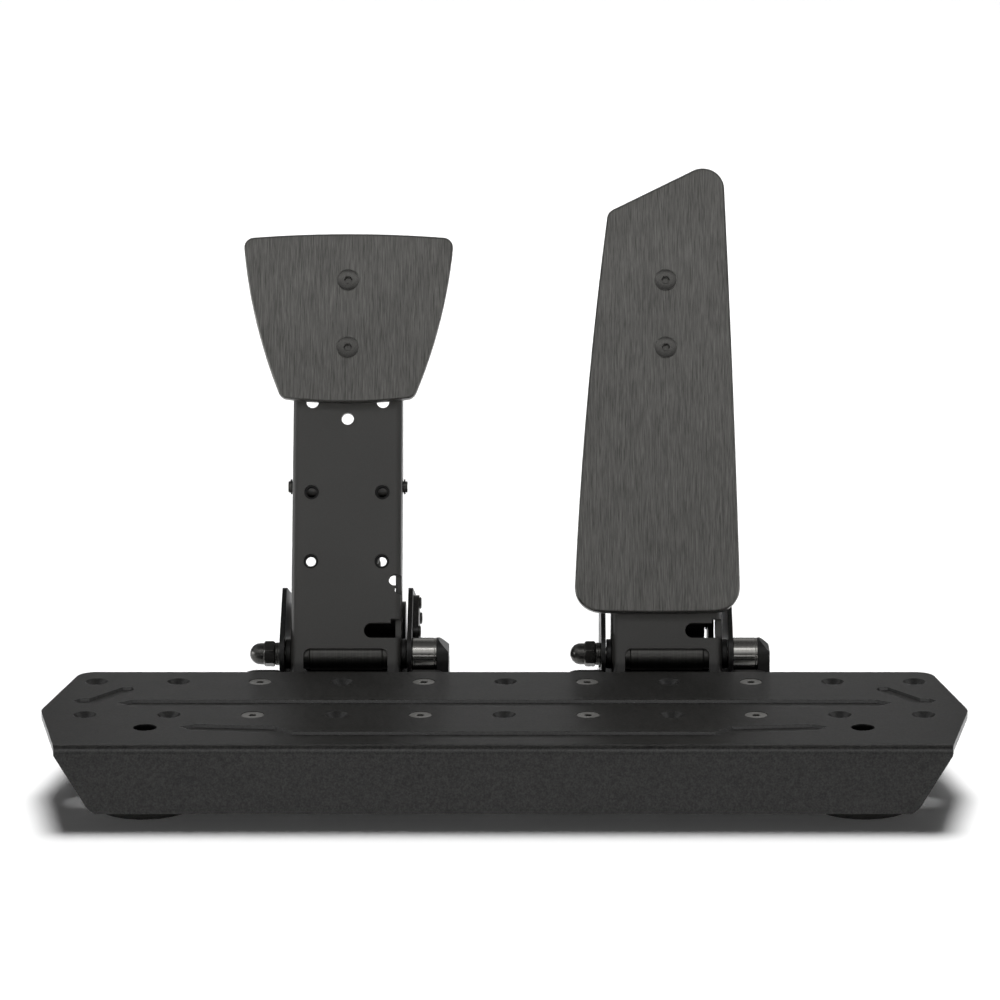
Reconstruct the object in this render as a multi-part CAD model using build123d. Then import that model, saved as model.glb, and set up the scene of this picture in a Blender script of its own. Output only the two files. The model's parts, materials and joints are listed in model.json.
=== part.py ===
from build123d import *
from math import atan2, cos, degrees, hypot, pi, radians, sin, sqrt, tan
import os

# Heel plate: one folded steel sheet with two rows of countersunk holes
sheet = 3.0
top_height = 33.5
hole_pitch = 35.0
holes_each_side = 5
row_gap = 50.0
rear_margin = 15.0
front_margin = 45.3
rear_overhang = 8.1
corner_overhang = 19.1
corner_behind_front_row = 6.5
fold_overhang = 8.3
rear_corner_radius = 8.0
side_corner_radius = 14.0
fold_radius = 4.0
apron_lean = 12.0
apron_drop = 27.2
apron_bottom_inset = 7.1
apron_corner_radius = 9.0
rig_hole_bore = 9.8
rig_hole_inset = 26.7
rig_hole_behind_fold = 26.5

# Grooves pressed into the heel plate, placed from the rear hole row and the outer hole column
groove_depth = 1.2
groove_slope = 30.0
groove_spread = 0.8
groove_width = 9.0
groove_tip = 6.0
rear_groove_inset = 12.0
rear_groove_setback = 32.6
front_groove_setback = 79.4
front_groove_middle_inset = 86.0
front_groove_jog_inset = 78.5
front_groove_jog_setback = 71.5
front_groove_end_inset = 41.0
front_groove_end_setback = 68.0
corner_groove_width = 6.5
corner_groove_tip = 2.5
corner_groove_inner_inset = 16.0
corner_groove_inner_setback = 8.8
corner_groove_elbow_inset = 1.0
corner_groove_overhang = 7.0
corner_groove_outer_setback = 29.4

# Countersunk screws of the plate and the pads, with their nuts
screw_bore = 5.3
screw_mouth = 9.8
screw_thread = 5.0
screw_head = 9.5
socket_across = 3.0
socket_depth = 1.8
base_screw_length = 12.0
pad_screw_length = 16.0
nut_across = 8.0
nut_height = 4.0
thread_play = 0.05

# Rubber feet
front_foot_radius = 21.8
front_foot_waist_radius = 17.5
front_foot_neck_radius = 11.0
front_foot_base_height = 9.0
front_foot_neck_height = 5.0
front_foot_edge = 2.0
foot_pad_radius = 9.0
foot_pad_height = 4.0
foot_pad_edge = 0.8
foot_pad_side_gap = 10.7
foot_pad_inset = 15.0

# Pedal frame: a folded channel whose cheeks rise behind the heel plate
module_columns = 2
frame_sheet = 2.0
bend_radius = 3.0
inner_bend_radius = 0.5
tab_hole_inset = 8.3
tab_reach = 16.0
tab_corner_radius = 5.0
front_tab_length = 20.0
rear_tab_start = 24.0
rear_tab_end = 29.0
frame_front_setback = 62.0
ear_radius = 12.0
ear_top_radius = 4.0
ear_top_back = 19.0
ear_top_rise = 20.7
tail_radius = 10.0
frame_corner_radius = 4.0
frame_tail_length = 16.0

# Pivot of the pedal and the parts on its axle
pivot_setback = 43.0
pivot_above_top = 0.3
axle_diameter = 6.0
axle_head_diameter = 8.0
axle_head_height = 2.5
axle_hole_play = 0.1
running_play = 0.05
side_play = 0.3
washer_radius = 5.0
washer_thickness = 2.3
acorn_across = 10.0
acorn_hex_height = 5.0
acorn_dome_radius = 4.7
acorn_length = 11.2
acorn_bore_depth = 8.0
tube_gap = 0.5
hub_gap = 0.05
hub_length = 32.8
hub_edge = 0.8
bush_diameter = 9.0
bush_reach = 10.0
bush_flange_radius = 6.5

# Angle sensor outside the right cheek
sleeve_radius = 7.2
sleeve_length = 11.0
housing_thickness = 5.1
housing_front = 9.0
housing_rear = 13.0
housing_drop = 20.0
housing_chamfer = 4.6
housing_corner_radius = 1.0
housing_foot_height = 10.5
head_pocket_play = 0.3
plug_width = 8.4
plug_height = 6.4
plug_depth = 8.0
sensor_screw_thread = 3.0
sensor_screw_head_radius = 2.7
sensor_screw_head_height = 1.6
sensor_screw_rise = 2.4
sensor_screw_gap = 15.0

# Pedal arm: a folded channel, measured along the arm and square to it from the pivot
arm_tilt = 25.0
arm_side_gap = 2.7
arm_sheet = 2.5
arm_bend_radius = 3.0
arm_front = 9.5
arm_back = 9.5
arm_top_back = -2.5
arm_foot = 11.0
arm_taper_start = 84.0
arm_length = 176.0
arm_foot_radius = 8.0
arm_taper_radius = 20.0
arm_top_radius = 4.0
window_side = 5.7
window_top = 0.8
window_radius = 3.0
hole_row_inset = 8.5
low_holes_height = 39.4
mid_holes_height = 70.2
insert_diameter = 6.4
insert_bore = 4.3
insert_recess = 0.4
top_hole_bore = 5.4
top_pair_drop = 23.3
top_middle_drop = 30.8
slot_height = 6.6
slot_length = 16.1
slot_middle = 8.8
notch_width = 4.4
notch_height = 8.4
notch_depth = 4.0
lobe_upper_radius = 2.4
lobe_upper_height = 31.1
lobe_upper_inset = 3.0
lobe_lower_radius = 2.1
lobe_lower_height = 27.0
lobe_lower_inset = 0.7
lobe_back = 4.0

# Pin behind the arm's foot that ends its way back to rest
stop_pin_diameter = 3.5
stop_pin_below_pivot = 2.5
stop_pin_proud = 1.0
stop_play = 0.1

# Pads and their fixing
pad_thickness = 4.0
pad_bevel = 0.7
spacer_thickness = 2.5
spacer_radius = 9.0
pad_screw_inset = 11.5
pad_screw_gap = 30.5
brake_pad_overhang = 7.5
brake_pad_height = 72.1
brake_pad_foot_half_width = 29.2
brake_pad_middle_rise = 30.1
brake_pad_middle_half_width = 39.4
brake_pad_top_half_width = 46.5
brake_pad_arch = 2.0
brake_pad_radius = 4.5
throttle_pad_foot = 16.5
throttle_pad_foot_left = 40.6
throttle_pad_foot_right = 31.9
throttle_pad_middle_height = 110.0
throttle_pad_middle_left = 34.7
throttle_pad_middle_right = 29.6
throttle_pad_overhang = 19.5
throttle_pad_top_left = 25.4
throttle_pad_top_right = 25.6
throttle_pad_slant = 26.7
throttle_pad_arch = 1.0
throttle_pad_foot_radius = 11.0
throttle_pad_left_radius = 5.0
throttle_pad_right_radius = 9.5

# Return spring unit: a rod that slides in a guide, between two cross pins
cross_pin_diameter = 5.0
cross_pin_height = 74.6
cross_pin_back = 0.5
rear_pin_diameter = 6.0
rear_pin_behind_pivot = 84.0
rear_pin_below_pivot = 8.0
pin_proud = 2.2
clip_thickness = 0.7
clip_groove_depth = 0.5
clip_wall = 0.9
clip_inset = 0.6
clip_opening = 3.0
barrel_radius = 8.0
cross_head_radius = 7.0
collar_radius = 14.0
collar_thickness = 3.0
lower_seat = 15.0
upper_seat = 14.0
guide_radius = 6.2
guide_bore = 8.0
guide_top = 44.0
guide_bore_bottom = 9.5
rod_diameter = 7.0
rod_length = 58.0
rod_edge = 0.8
spring_radius = 13.0
brake_wire = 3.5
throttle_wire = 2.4
brake_turns = 8
throttle_turns = 9
spring_play = 0.05
half_turn_steps = 12
bumper_radius = 8.8
bumper_length = 15.4
bumper_groove_depth = 1.2
bumper_groove_width = 2.0
bumper_grooves = 3
bumper_play = 0.4

# Bracket on the frame's floor that carries the rear pin
bracket_sheet = 2.5
bracket_side_gap = 3.4
bracket_ear_radius = 9.0
bracket_half_length = 13.0
bracket_corner_radius = 2.0
bracket_clip_room = 0.3
barrel_end_gap = 1.6
bracket_screw_gap = 15.0
bracket_screw_head_radius = 4.2
bracket_screw_head_height = 2.7

# Plate outside the brake's right cheek
side_plate_thickness = 2.5
side_plate_radius = 3.5
side_plate_back = 15.0
side_plate_low = 6.0
side_plate_length = 13.0
side_plate_rise = 9.5
side_screw_radius = 2.6
side_screw_height = 1.0
side_screw_thread = 3.0

overrun = 1.0

# Places that follow from the sizes above
outer_hole_x = holes_each_side * hole_pitch
rear_half_width = outer_hole_x + rear_overhang
corner_half_width = outer_hole_x + corner_overhang
fold_half_width = outer_hole_x + fold_overhang
apron_bottom_half_width = outer_hole_x - apron_bottom_inset
rig_hole_x = outer_hole_x - rig_hole_inset
module_x = module_columns * hole_pitch
apron_run = apron_drop * tan(radians(apron_lean))
front_reach = row_gap + front_margin + apron_run
rear_reach = pivot_setback + rear_pin_behind_pivot + frame_tail_length
rear_row_y = (front_reach - rear_reach) / 2
front_row_y = rear_row_y - row_gap
fold_y = front_row_y - front_margin
rig_hole_y = fold_y + rig_hole_behind_fold
plate_bottom = top_height - sheet
pivot_y = rear_row_y + pivot_setback
pivot_z = top_height + pivot_above_top
rear_pin_y = pivot_y + rear_pin_behind_pivot
rear_pin_z = pivot_z - rear_pin_below_pivot
frame_rear_y = rear_pin_y + frame_tail_length
frame_front_y = rear_row_y - frame_front_setback
cheek_inner = hole_pitch - tab_hole_inset
cheek_outer = cheek_inner + frame_sheet
floor_top = foot_pad_height + frame_sheet
arm_half = cheek_inner - arm_side_gap
arm_inner = arm_half - arm_sheet
window_half_width = arm_half - window_side
hole_row_half_gap = arm_half - hole_row_inset
slot_end_x = arm_half - slot_length
tube_radius = arm_front - arm_sheet - tube_gap
hub_radius = arm_front - arm_sheet - hub_gap
pad_screw_high = arm_length - pad_screw_inset
pad_screw_low = pad_screw_high - pad_screw_gap
brake_pad_top = arm_length + brake_pad_overhang
brake_pad_foot = brake_pad_top - brake_pad_height
throttle_pad_left_top = arm_length + throttle_pad_overhang
bracket_outer = cheek_inner - bracket_side_gap
bracket_inner = bracket_outer - bracket_sheet
axle_hole = axle_diameter + 2 * axle_hole_play
tilt = radians(arm_tilt)
cross_pin_y = pivot_y + cross_pin_height * sin(tilt) + cross_pin_back * cos(tilt)
cross_pin_z = pivot_z + cross_pin_height * cos(tilt) - cross_pin_back * sin(tilt)
unit_length = hypot(rear_pin_y - cross_pin_y, cross_pin_z - rear_pin_z)
unit_lean = degrees(atan2(rear_pin_y - cross_pin_y, cross_pin_z - rear_pin_z))
stop_pin_back = arm_back + stop_pin_diameter / 2 + stop_play
stop_pin_y = pivot_y - stop_pin_below_pivot * sin(tilt) + stop_pin_back * cos(tilt)
stop_pin_z = pivot_z - stop_pin_below_pivot * cos(tilt) - stop_pin_back * sin(tilt)


def facing_driver(y):
    """Plane across the part at a given depth, seen from the driver's side."""
    return Plane((0, y, 0), x_dir=(1, 0, 0), z_dir=(0, -1, 0))


def rest_place(x):
    """Frame of a pedal arm at rest: X across, Y square to the arm, Z along it."""
    return Pos(x, pivot_y, pivot_z) * Rot(X=-arm_tilt)


def unit_place(x):
    """Frame of a spring unit at rest: Z runs from the rear pin to the arm's cross pin."""
    return Pos(x, rear_pin_y, rear_pin_z) * Rot(X=unit_lean)


def crosswise(radius, start, end, y=0, z=0):
    """Round bar along X."""
    return Pos((start + end) / 2, y, z) * Rot(Y=90) * Cylinder(radius, end - start)


def upright(radius, start, end):
    """Round bar along Z."""
    return Pos(0, 0, (start + end) / 2) * Cylinder(radius, end - start)


def side_prism(face, start, end):
    """Solid with a given side view, between two places across."""
    return extrude(Plane.YZ.offset(start) * face, amount=end - start)


def round_corners(face, radius, *places):
    """Round the corners of a face that lie nearest to the given places."""
    corners = [min(face.vertices(), key=lambda v: hypot(v.X - x, v.Y - y)) for x, y in places]
    return fillet(corners, radius)


def hexagon(across_flats):
    return RegularPolygon(across_flats / 2, 6, major_radius=False)


def countersunk_hole(depth):
    """Cutter for a countersunk hole that goes down from the origin."""
    cone = (screw_mouth - screw_bore) / 2
    hole = upright(screw_bore / 2, -depth, 0)
    return hole + Pos(0, 0, -cone / 2) * Cone(screw_bore / 2, screw_mouth / 2, cone)


def countersunk_screw(length):
    """Flat head screw with a hex socket, seated in a hole whose mouth is at the origin."""
    cone = (screw_head - screw_thread) / 2
    below_face = (screw_mouth - screw_head) / 2
    screw = upright(screw_thread / 2, -length, -below_face)
    screw += Pos(0, 0, -below_face - cone / 2) * Cone(screw_thread / 2, screw_head / 2, cone)
    socket = extrude(Pos(0, 0, -below_face) * hexagon(socket_across), amount=-socket_depth)
    return screw - socket


def hex_nut():
    """Nut that hangs down from the origin."""
    blank = extrude(hexagon(nut_across), amount=-nut_height)
    return blank - upright(screw_thread / 2 + thread_play, -nut_height - overrun, overrun)


def band(points, width, tip):
    """Face along a bent middle line, with a point at each end."""
    middle = [Vector(x, y) for x, y in points]
    runs = [(b - a).normalized() for a, b in zip(middle, middle[1:])]
    sides = [Vector(-run.Y, run.X) * (width / 2) for run in runs]
    left = [middle[0] + runs[0] * tip + sides[0]]
    right = [middle[0] + runs[0] * tip - sides[0]]
    for corner, before, after in zip(middle[1:-1], sides, sides[1:]):
        mitre = (before + after) * (1 / (1 + before.dot(after) / before.dot(before)))
        left.append(corner + mitre)
        right.append(corner - mitre)
    left.append(middle[-1] - runs[-1] * tip + sides[-1])
    right.append(middle[-1] - runs[-1] * tip - sides[-1])
    outline = [middle[0]] + left + [middle[-1]] + right[::-1]
    return make_face(Polyline(*outline, close=True))


def groove_lines():
    """Middle line, width and tip of every pressed groove."""
    rear_end = outer_hole_x - rear_groove_inset
    rear = [(-rear_end, rear_row_y - rear_groove_setback), (rear_end, rear_row_y - rear_groove_setback)]
    right_half = [(outer_hole_x - front_groove_middle_inset, rear_row_y - front_groove_setback),
                  (outer_hole_x - front_groove_jog_inset, rear_row_y - front_groove_jog_setback),
                  (outer_hole_x - front_groove_end_inset, rear_row_y - front_groove_end_setback)]
    front = [(-x, y) for x, y in right_half[::-1]] + right_half
    lines = [(rear, groove_width, groove_tip), (front, groove_width, groove_tip)]
    outer_y = rear_row_y - corner_groove_outer_setback
    for side in (-1, 1):
        inner_y = rear_row_y - corner_groove_inner_setback
        corner = [(side * (outer_hole_x - corner_groove_inner_inset), inner_y),
                  (side * (outer_hole_x - corner_groove_elbow_inset), outer_y),
                  (side * (outer_hole_x + corner_groove_overhang), outer_y)]
        lines.append((corner, corner_groove_width, corner_groove_tip))
    return lines


def plate_sheet():
    """The folded sheet before its outline is cut: flat top and leaning apron."""
    lean = radians(apron_lean)
    down = Vector(-sin(lean), -cos(lean))
    inward = Vector(cos(lean), -sin(lean)) * sheet
    fold = Vector(fold_y, top_height)
    hem = fold + down * (apron_drop / cos(lean))
    inner_fold = fold + inward + down * (sheet * (1 - sin(lean)) / cos(lean))
    rear_y = rear_row_y + rear_margin
    profile = make_face(Polyline((rear_y, top_height), fold, hem, hem + inward, inner_fold,
                                 (rear_y, plate_bottom), close=True))
    profile = round_corners(profile, fold_radius, (fold.X, fold.Y))
    profile = round_corners(profile, fold_radius - sheet, (inner_fold.X, inner_fold.Y))
    return side_prism(profile, -corner_half_width, corner_half_width)


def plate_outline():
    """Everything inside the plan view of the heel plate."""
    rear_y = rear_row_y + rear_margin
    side_y = front_row_y + corner_behind_front_row
    front_y = fold_y - apron_run - overrun
    right = [(rear_half_width, rear_y), (corner_half_width, side_y),
             (fold_half_width, fold_y), (fold_half_width, front_y)]
    left = [(-x, y) for x, y in right[::-1]]
    face = make_face(Polyline(*right, *left, close=True))
    face = round_corners(face, rear_corner_radius, right[0], left[-1])
    face = round_corners(face, side_corner_radius, right[1], left[-2])
    return extrude(face, amount=top_height + overrun)


def apron_trim():
    """What the slanted, rounded ends of the apron leave away."""
    shoulder_z = top_height - fold_radius
    hem_z = top_height - apron_drop - sheet * sin(radians(apron_lean))
    hem_corners = [(apron_bottom_half_width, hem_z), (-apron_bottom_half_width, hem_z)]
    keep = make_face(Polyline((-fold_half_width, shoulder_z), (fold_half_width, shoulder_z),
                              *hem_corners, close=True))
    keep = round_corners(keep, apron_corner_radius, *hem_corners)
    whole = make_face(Polyline((-corner_half_width, shoulder_z), (corner_half_width, shoulder_z),
                               (corner_half_width, 0), (-corner_half_width, 0), close=True))
    depth = apron_run + fold_radius + sheet
    return extrude(facing_driver(fold_y + fold_radius + sheet) * (whole - keep),
                   amount=depth + overrun)


def hole_places():
    """Places of the countersunk holes, column by column."""
    columns = range(-holes_each_side, holes_each_side + 1)
    return [(column * hole_pitch, y) for column in columns for y in (rear_row_y, front_row_y)]


def base_plate():
    plate = (plate_sheet() & plate_outline()) - apron_trim()
    for line, width, tip in groove_lines():
        wider = band(line, width + 2 * groove_spread, tip + groove_spread)
        plate += extrude(Pos(0, 0, plate_bottom) * wider, amount=-groove_depth, taper=groove_slope)
    for line, width, tip in groove_lines():
        plate -= extrude(Pos(0, 0, top_height) * band(line, width, tip), amount=-groove_depth,
                         taper=groove_slope)
    plate -= [Pos(x, y, top_height) * countersunk_hole(sheet + overrun) for x, y in hole_places()]
    plate -= [Pos(x, rig_hole_y, 0) * upright(rig_hole_bore / 2, 0, top_height + overrun)
              for x in (-rig_hole_x, rig_hole_x)]
    return plate


def screw_places():
    """The holes that carry the pedal frames: beside each frame, in both rows."""
    return [(side * module_x + step, y) for side in (-1, 1) for step in (-hole_pitch, hole_pitch)
            for y in (rear_row_y, front_row_y)]


def base_screws():
    return [Pos(x, y, top_height) * countersunk_screw(base_screw_length) for x, y in screw_places()]


def base_nuts():
    under_tab = plate_bottom - frame_sheet
    return [Pos(x, y, under_tab) * hex_nut() for x, y in screw_places()]


def front_foot():
    """Tapered rubber foot with a bore for a rig bolt and a neck against the plate."""
    shoulder = plate_bottom - front_foot_neck_height
    bore = rig_hole_bore / 2
    profile = make_face(Polyline((bore, 0), (front_foot_radius, 0),
                                 (front_foot_radius, front_foot_base_height),
                                 (front_foot_waist_radius, shoulder), (front_foot_neck_radius, shoulder),
                                 (front_foot_neck_radius, plate_bottom), (bore, plate_bottom), close=True))
    profile = round_corners(profile, front_foot_edge, (front_foot_radius, 0),
                            (front_foot_waist_radius, shoulder))
    return revolve(Plane.XZ * profile, Axis.Z)


def front_feet():
    return [Pos(x, rig_hole_y, 0) * front_foot() for x in (-rig_hole_x, rig_hole_x)]


def channel_section(half_width, thickness, bottom, top):
    """Front view of a folded channel: floor and two cheeks with rounded bends."""
    height = top - bottom
    outer = Pos(0, bottom + height / 2) * Rectangle(2 * half_width, height)
    outer = round_corners(outer, bend_radius, (-half_width, bottom), (half_width, bottom))
    inner_half = half_width - thickness
    floor = bottom + thickness
    inner = Pos(0, floor + height / 2) * Rectangle(2 * inner_half, height)
    inner = round_corners(inner, inner_bend_radius, (-inner_half, floor), (inner_half, floor))
    return outer - inner


def frame_side():
    """Side view of the channel: a low front under the plate, ears at the pivot, a falling tail."""
    bottom = foot_pad_height
    cheek_top = plate_bottom - bend_radius
    front = make_face(Polyline((frame_front_y, bottom), (frame_front_y, cheek_top),
                               (pivot_y, cheek_top), (pivot_y, bottom), close=True))
    bosses = [Pos(pivot_y, pivot_z) * Circle(ear_radius),
              Pos(pivot_y + ear_top_back, pivot_z + ear_top_rise) * Circle(ear_top_radius),
              Pos(rear_pin_y, rear_pin_z) * Circle(tail_radius),
              Pos(frame_rear_y - frame_corner_radius, bottom + frame_corner_radius)
              * Circle(frame_corner_radius),
              Pos(pivot_y, bottom + frame_corner_radius) * Circle(frame_corner_radius)]
    return front + make_hull([boss.edge() for boss in bosses])


def frame_tab(start, end):
    """Right-hand tab that is folded outward from a cheek to lie under the plate."""
    low = plate_bottom - bend_radius - frame_sheet
    far = cheek_inner + tab_reach
    profile = make_face(Polyline((cheek_inner, low), (cheek_inner, plate_bottom), (far, plate_bottom),
                                 (far, plate_bottom - frame_sheet),
                                 (cheek_outer, plate_bottom - frame_sheet), (cheek_outer, low), close=True))
    profile = round_corners(profile, bend_radius, (cheek_inner, plate_bottom))
    profile = round_corners(profile, inner_bend_radius, (cheek_outer, plate_bottom - frame_sheet))
    tab = extrude(facing_driver(end) * profile, amount=end - start)
    corners = tab.edges().filter_by(Axis.Z).group_by(Axis.X)[-1]
    return fillet(corners, tab_corner_radius)


def frame(x, with_side_plate):
    top = pivot_z + ear_top_rise + ear_top_radius + overrun
    section = channel_section(cheek_outer, frame_sheet, foot_pad_height, top)
    length = frame_rear_y - frame_front_y + 2 * overrun
    channel = extrude(facing_driver(frame_rear_y + overrun) * section, amount=length)
    channel &= side_prism(frame_side(), -cheek_outer, cheek_outer)
    tab_ends = [(front_row_y - front_tab_length / 2, front_row_y + front_tab_length / 2),
                (rear_row_y - rear_tab_start, rear_row_y + rear_tab_end)]
    for start, end in tab_ends:
        tab = frame_tab(start, end)
        channel += [tab, mirror(tab, about=Plane.YZ)]
    reach = cheek_outer + overrun
    cuts = [crosswise(axle_hole / 2, -reach, reach, pivot_y, pivot_z),
            crosswise(stop_pin_diameter / 2, -reach, reach, stop_pin_y, stop_pin_z)]
    cuts += [Pos(0, y, 0) * upright(screw_thread / 2, 0, floor_top + overrun)
             for y in bracket_screw_places()]
    cuts += [crosswise(sensor_screw_thread / 2, 0, reach, y, z) for y, z in sensor_screw_places()]
    if with_side_plate:
        cuts += [crosswise(side_screw_thread / 2, 0, reach, y, z) for y, z in side_plate_places()]
    tab_hole = upright(screw_bore / 2, plate_bottom - 2 * frame_sheet, top_height)
    cuts += [Pos(step, y, 0) * tab_hole for step in (-hole_pitch, hole_pitch)
             for y in (rear_row_y, front_row_y)]
    return Pos(x, 0, 0) * (channel - cuts)


def frame_feet(x):
    ends = (frame_front_y + foot_pad_inset, frame_rear_y - foot_pad_inset)
    pad = upright(foot_pad_radius, 0, foot_pad_height)
    pad = chamfer(pad.edges().group_by(Axis.Z)[0], foot_pad_edge)
    foot_pad_x = cheek_inner - foot_pad_side_gap
    return [Pos(x + step, y, 0) * pad for step in (-foot_pad_x, foot_pad_x) for y in ends]


def bracket_screw_places():
    """Places along the frame of the two screws in the rear bracket's floor."""
    return [rear_pin_y - bracket_screw_gap / 2, rear_pin_y + bracket_screw_gap / 2]


def rear_bracket(x):
    """Folded channel on the frame's floor, with an ear at each end of the rear pin."""
    top = rear_pin_z + bracket_ear_radius + overrun
    section = channel_section(bracket_outer, bracket_sheet, floor_top, top)
    start = rear_pin_y - bracket_half_length
    end = rear_pin_y + bracket_half_length
    bracket = extrude(facing_driver(end) * section, amount=end - start)
    ear = Pos(rear_pin_y, rear_pin_z) * Circle(bracket_ear_radius)
    corner_z = floor_top + bracket_sheet + bracket_corner_radius
    corners = [Pos(y, corner_z) * Circle(bracket_corner_radius)
               for y in (start + bracket_corner_radius, end - bracket_corner_radius)]
    side = make_hull([boss.edge() for boss in (ear, *corners)])
    side += Pos(rear_pin_y, floor_top + bracket_sheet / 2) * Rectangle(end - start, bracket_sheet)
    side += Pos(rear_pin_y, corner_z) * Rectangle(end - start, 2 * bracket_corner_radius)
    bracket &= side_prism(side, -bracket_outer, bracket_outer)
    cuts = [Pos(0, y, 0) * upright(screw_bore / 2, floor_top - overrun, floor_top + bracket_sheet + overrun)
            for y in bracket_screw_places()]
    cuts.append(crosswise(rear_pin_diameter / 2, -cheek_inner, cheek_inner, rear_pin_y, rear_pin_z))
    return Pos(x, 0, 0) * (bracket - cuts)


def rear_bracket_screws(x):
    """Socket screws down through the bracket's floor into the frame."""
    seat = floor_top + bracket_sheet
    screw = upright(screw_thread / 2, foot_pad_height, seat)
    screw += upright(bracket_screw_head_radius, seat, seat + bracket_screw_head_height)
    socket = extrude(Pos(0, 0, seat + bracket_screw_head_height) * hexagon(socket_across),
                     amount=-socket_depth)
    return [Pos(x, y, 0) * (screw - socket) for y in bracket_screw_places()]


def arm_shell():
    """The folded channel of the arm with its side outline."""
    depth = arm_front + arm_back
    outer = Pos(0, (arm_back - arm_front) / 2) * Rectangle(2 * arm_half, depth)
    outer = round_corners(outer, arm_bend_radius, (-arm_half, -arm_front), (arm_half, -arm_front))
    inner_front = arm_sheet - arm_front
    inner = Pos(0, inner_front + depth / 2) * Rectangle(2 * arm_inner, depth)
    inner = round_corners(inner, inner_bend_radius, (-arm_inner, inner_front), (arm_inner, inner_front))
    channel = extrude(Pos(0, 0, -arm_foot) * (outer - inner), amount=arm_foot + arm_length)
    corners = [(-arm_front, -arm_foot), (arm_back, -arm_foot), (arm_back, arm_taper_start),
               (arm_top_back, arm_length), (-arm_front, arm_length)]
    side = make_face(Polyline(*corners, close=True))
    side = round_corners(side, arm_foot_radius, corners[1])
    side = round_corners(side, arm_taper_radius, corners[2])
    side = round_corners(side, arm_top_radius, corners[3])
    return channel & side_prism(side, -arm_half, arm_half)


def through_front(face):
    """Cutter that takes a shape drawn in front view out of the arm's front sheet."""
    depth = arm_sheet + 2 * overrun
    return extrude(facing_driver(arm_sheet + overrun - arm_front) * face, amount=depth)


def insert_places():
    """Places in front view of the arm's four threaded inserts."""
    return [(side * hole_row_half_gap, height)
            for side in (-1, 1) for height in (low_holes_height, mid_holes_height)]


def arm_window():
    """Opening at the foot of the arm, in front of the pivot tube."""
    low = -arm_foot - window_radius - overrun
    face = Pos(0, (low + window_top) / 2) * Rectangle(2 * window_half_width, window_top - low)
    face = round_corners(face, window_radius, (-window_half_width, window_top),
                         (window_half_width, window_top))
    return through_front(face)


def stop_slot():
    """Slot in the front sheet that ends in a taller notch out of the right bend."""
    radius = slot_height / 2
    start = slot_end_x + radius
    end = arm_half + overrun
    face = Pos(start, slot_middle) * Circle(radius)
    face += Pos((start + end) / 2, slot_middle) * Rectangle(end - start, slot_height)
    notch_start = arm_half - notch_width
    depth = notch_depth + overrun
    notch_z = slot_middle - radius + notch_height / 2
    notch = Pos((notch_start + end) / 2, depth / 2 - overrun - arm_front, notch_z) * Box(
        end - notch_start, depth, notch_height)
    return through_front(face) + notch


def bend_lobes():
    """Two round bites out of the right bend, one above the other."""
    depth = lobe_back + overrun
    middle = depth / 2 - overrun - arm_front
    end = arm_half + overrun
    bites = []
    for radius, height, inset in ((lobe_upper_radius, lobe_upper_height, lobe_upper_inset),
                                  (lobe_lower_radius, lobe_lower_height, lobe_lower_inset)):
        side = arm_half - inset
        bites.append(Pos(side, middle, height) * Rot(X=90) * Cylinder(radius, depth))
        bites.append(Pos((side + end) / 2, middle, height) * Box(end - side, depth, 2 * radius))
    return bites


def arm(x):
    reach = arm_half + overrun
    insert_holes = [through_front(Pos(*place) * Circle(insert_diameter / 2)) for place in insert_places()]
    pair_height = pad_screw_low - top_pair_drop
    top_places = [(-hole_row_half_gap, pair_height), (hole_row_half_gap, pair_height),
                  (0, pad_screw_low - top_middle_drop)]
    top_holes = [through_front(Pos(*place) * Circle(top_hole_bore / 2)) for place in top_places]
    pad_holes = [through_front(Pos(0, height) * Circle(screw_bore / 2))
                 for height in (pad_screw_low, pad_screw_high)]
    pin_holes = [crosswise(cross_pin_diameter / 2, -reach, reach, cross_pin_back, cross_pin_height),
                 crosswise(bush_diameter / 2, -reach, reach)]
    cuts = insert_holes + top_holes + pad_holes + pin_holes + [arm_window(), stop_slot()] + bend_lobes()
    return rest_place(x) * (arm_shell() - cuts)


def arm_inserts(x):
    """Threaded rings pressed into the arm's lower holes, a little below its face."""
    ring = upright(insert_diameter / 2, -arm_sheet, -insert_recess)
    ring -= upright(insert_bore / 2, -arm_sheet - overrun, overrun)
    return [rest_place(x) * Pos(across, -arm_front, height) * Rot(X=90) * ring
            for across, height in insert_places()]


def brake_pad_face():
    """Front view of the brake pad: wider at the top, every edge slightly arched."""
    middle_height = brake_pad_foot + brake_pad_middle_rise
    foot_right = (brake_pad_foot_half_width, brake_pad_foot)
    top_right = (brake_pad_top_half_width, brake_pad_top)
    foot_left = (-brake_pad_foot_half_width, brake_pad_foot)
    top_left = (-brake_pad_top_half_width, brake_pad_top)
    edges = [ThreePointArc(foot_left, (0, brake_pad_foot - brake_pad_arch), foot_right),
             ThreePointArc(foot_right, (brake_pad_middle_half_width, middle_height), top_right),
             ThreePointArc(top_right, (0, brake_pad_top + brake_pad_arch), top_left),
             ThreePointArc(top_left, (-brake_pad_middle_half_width, middle_height), foot_left)]
    return round_corners(make_face(edges), brake_pad_radius, foot_left, foot_right, top_left, top_right)


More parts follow.
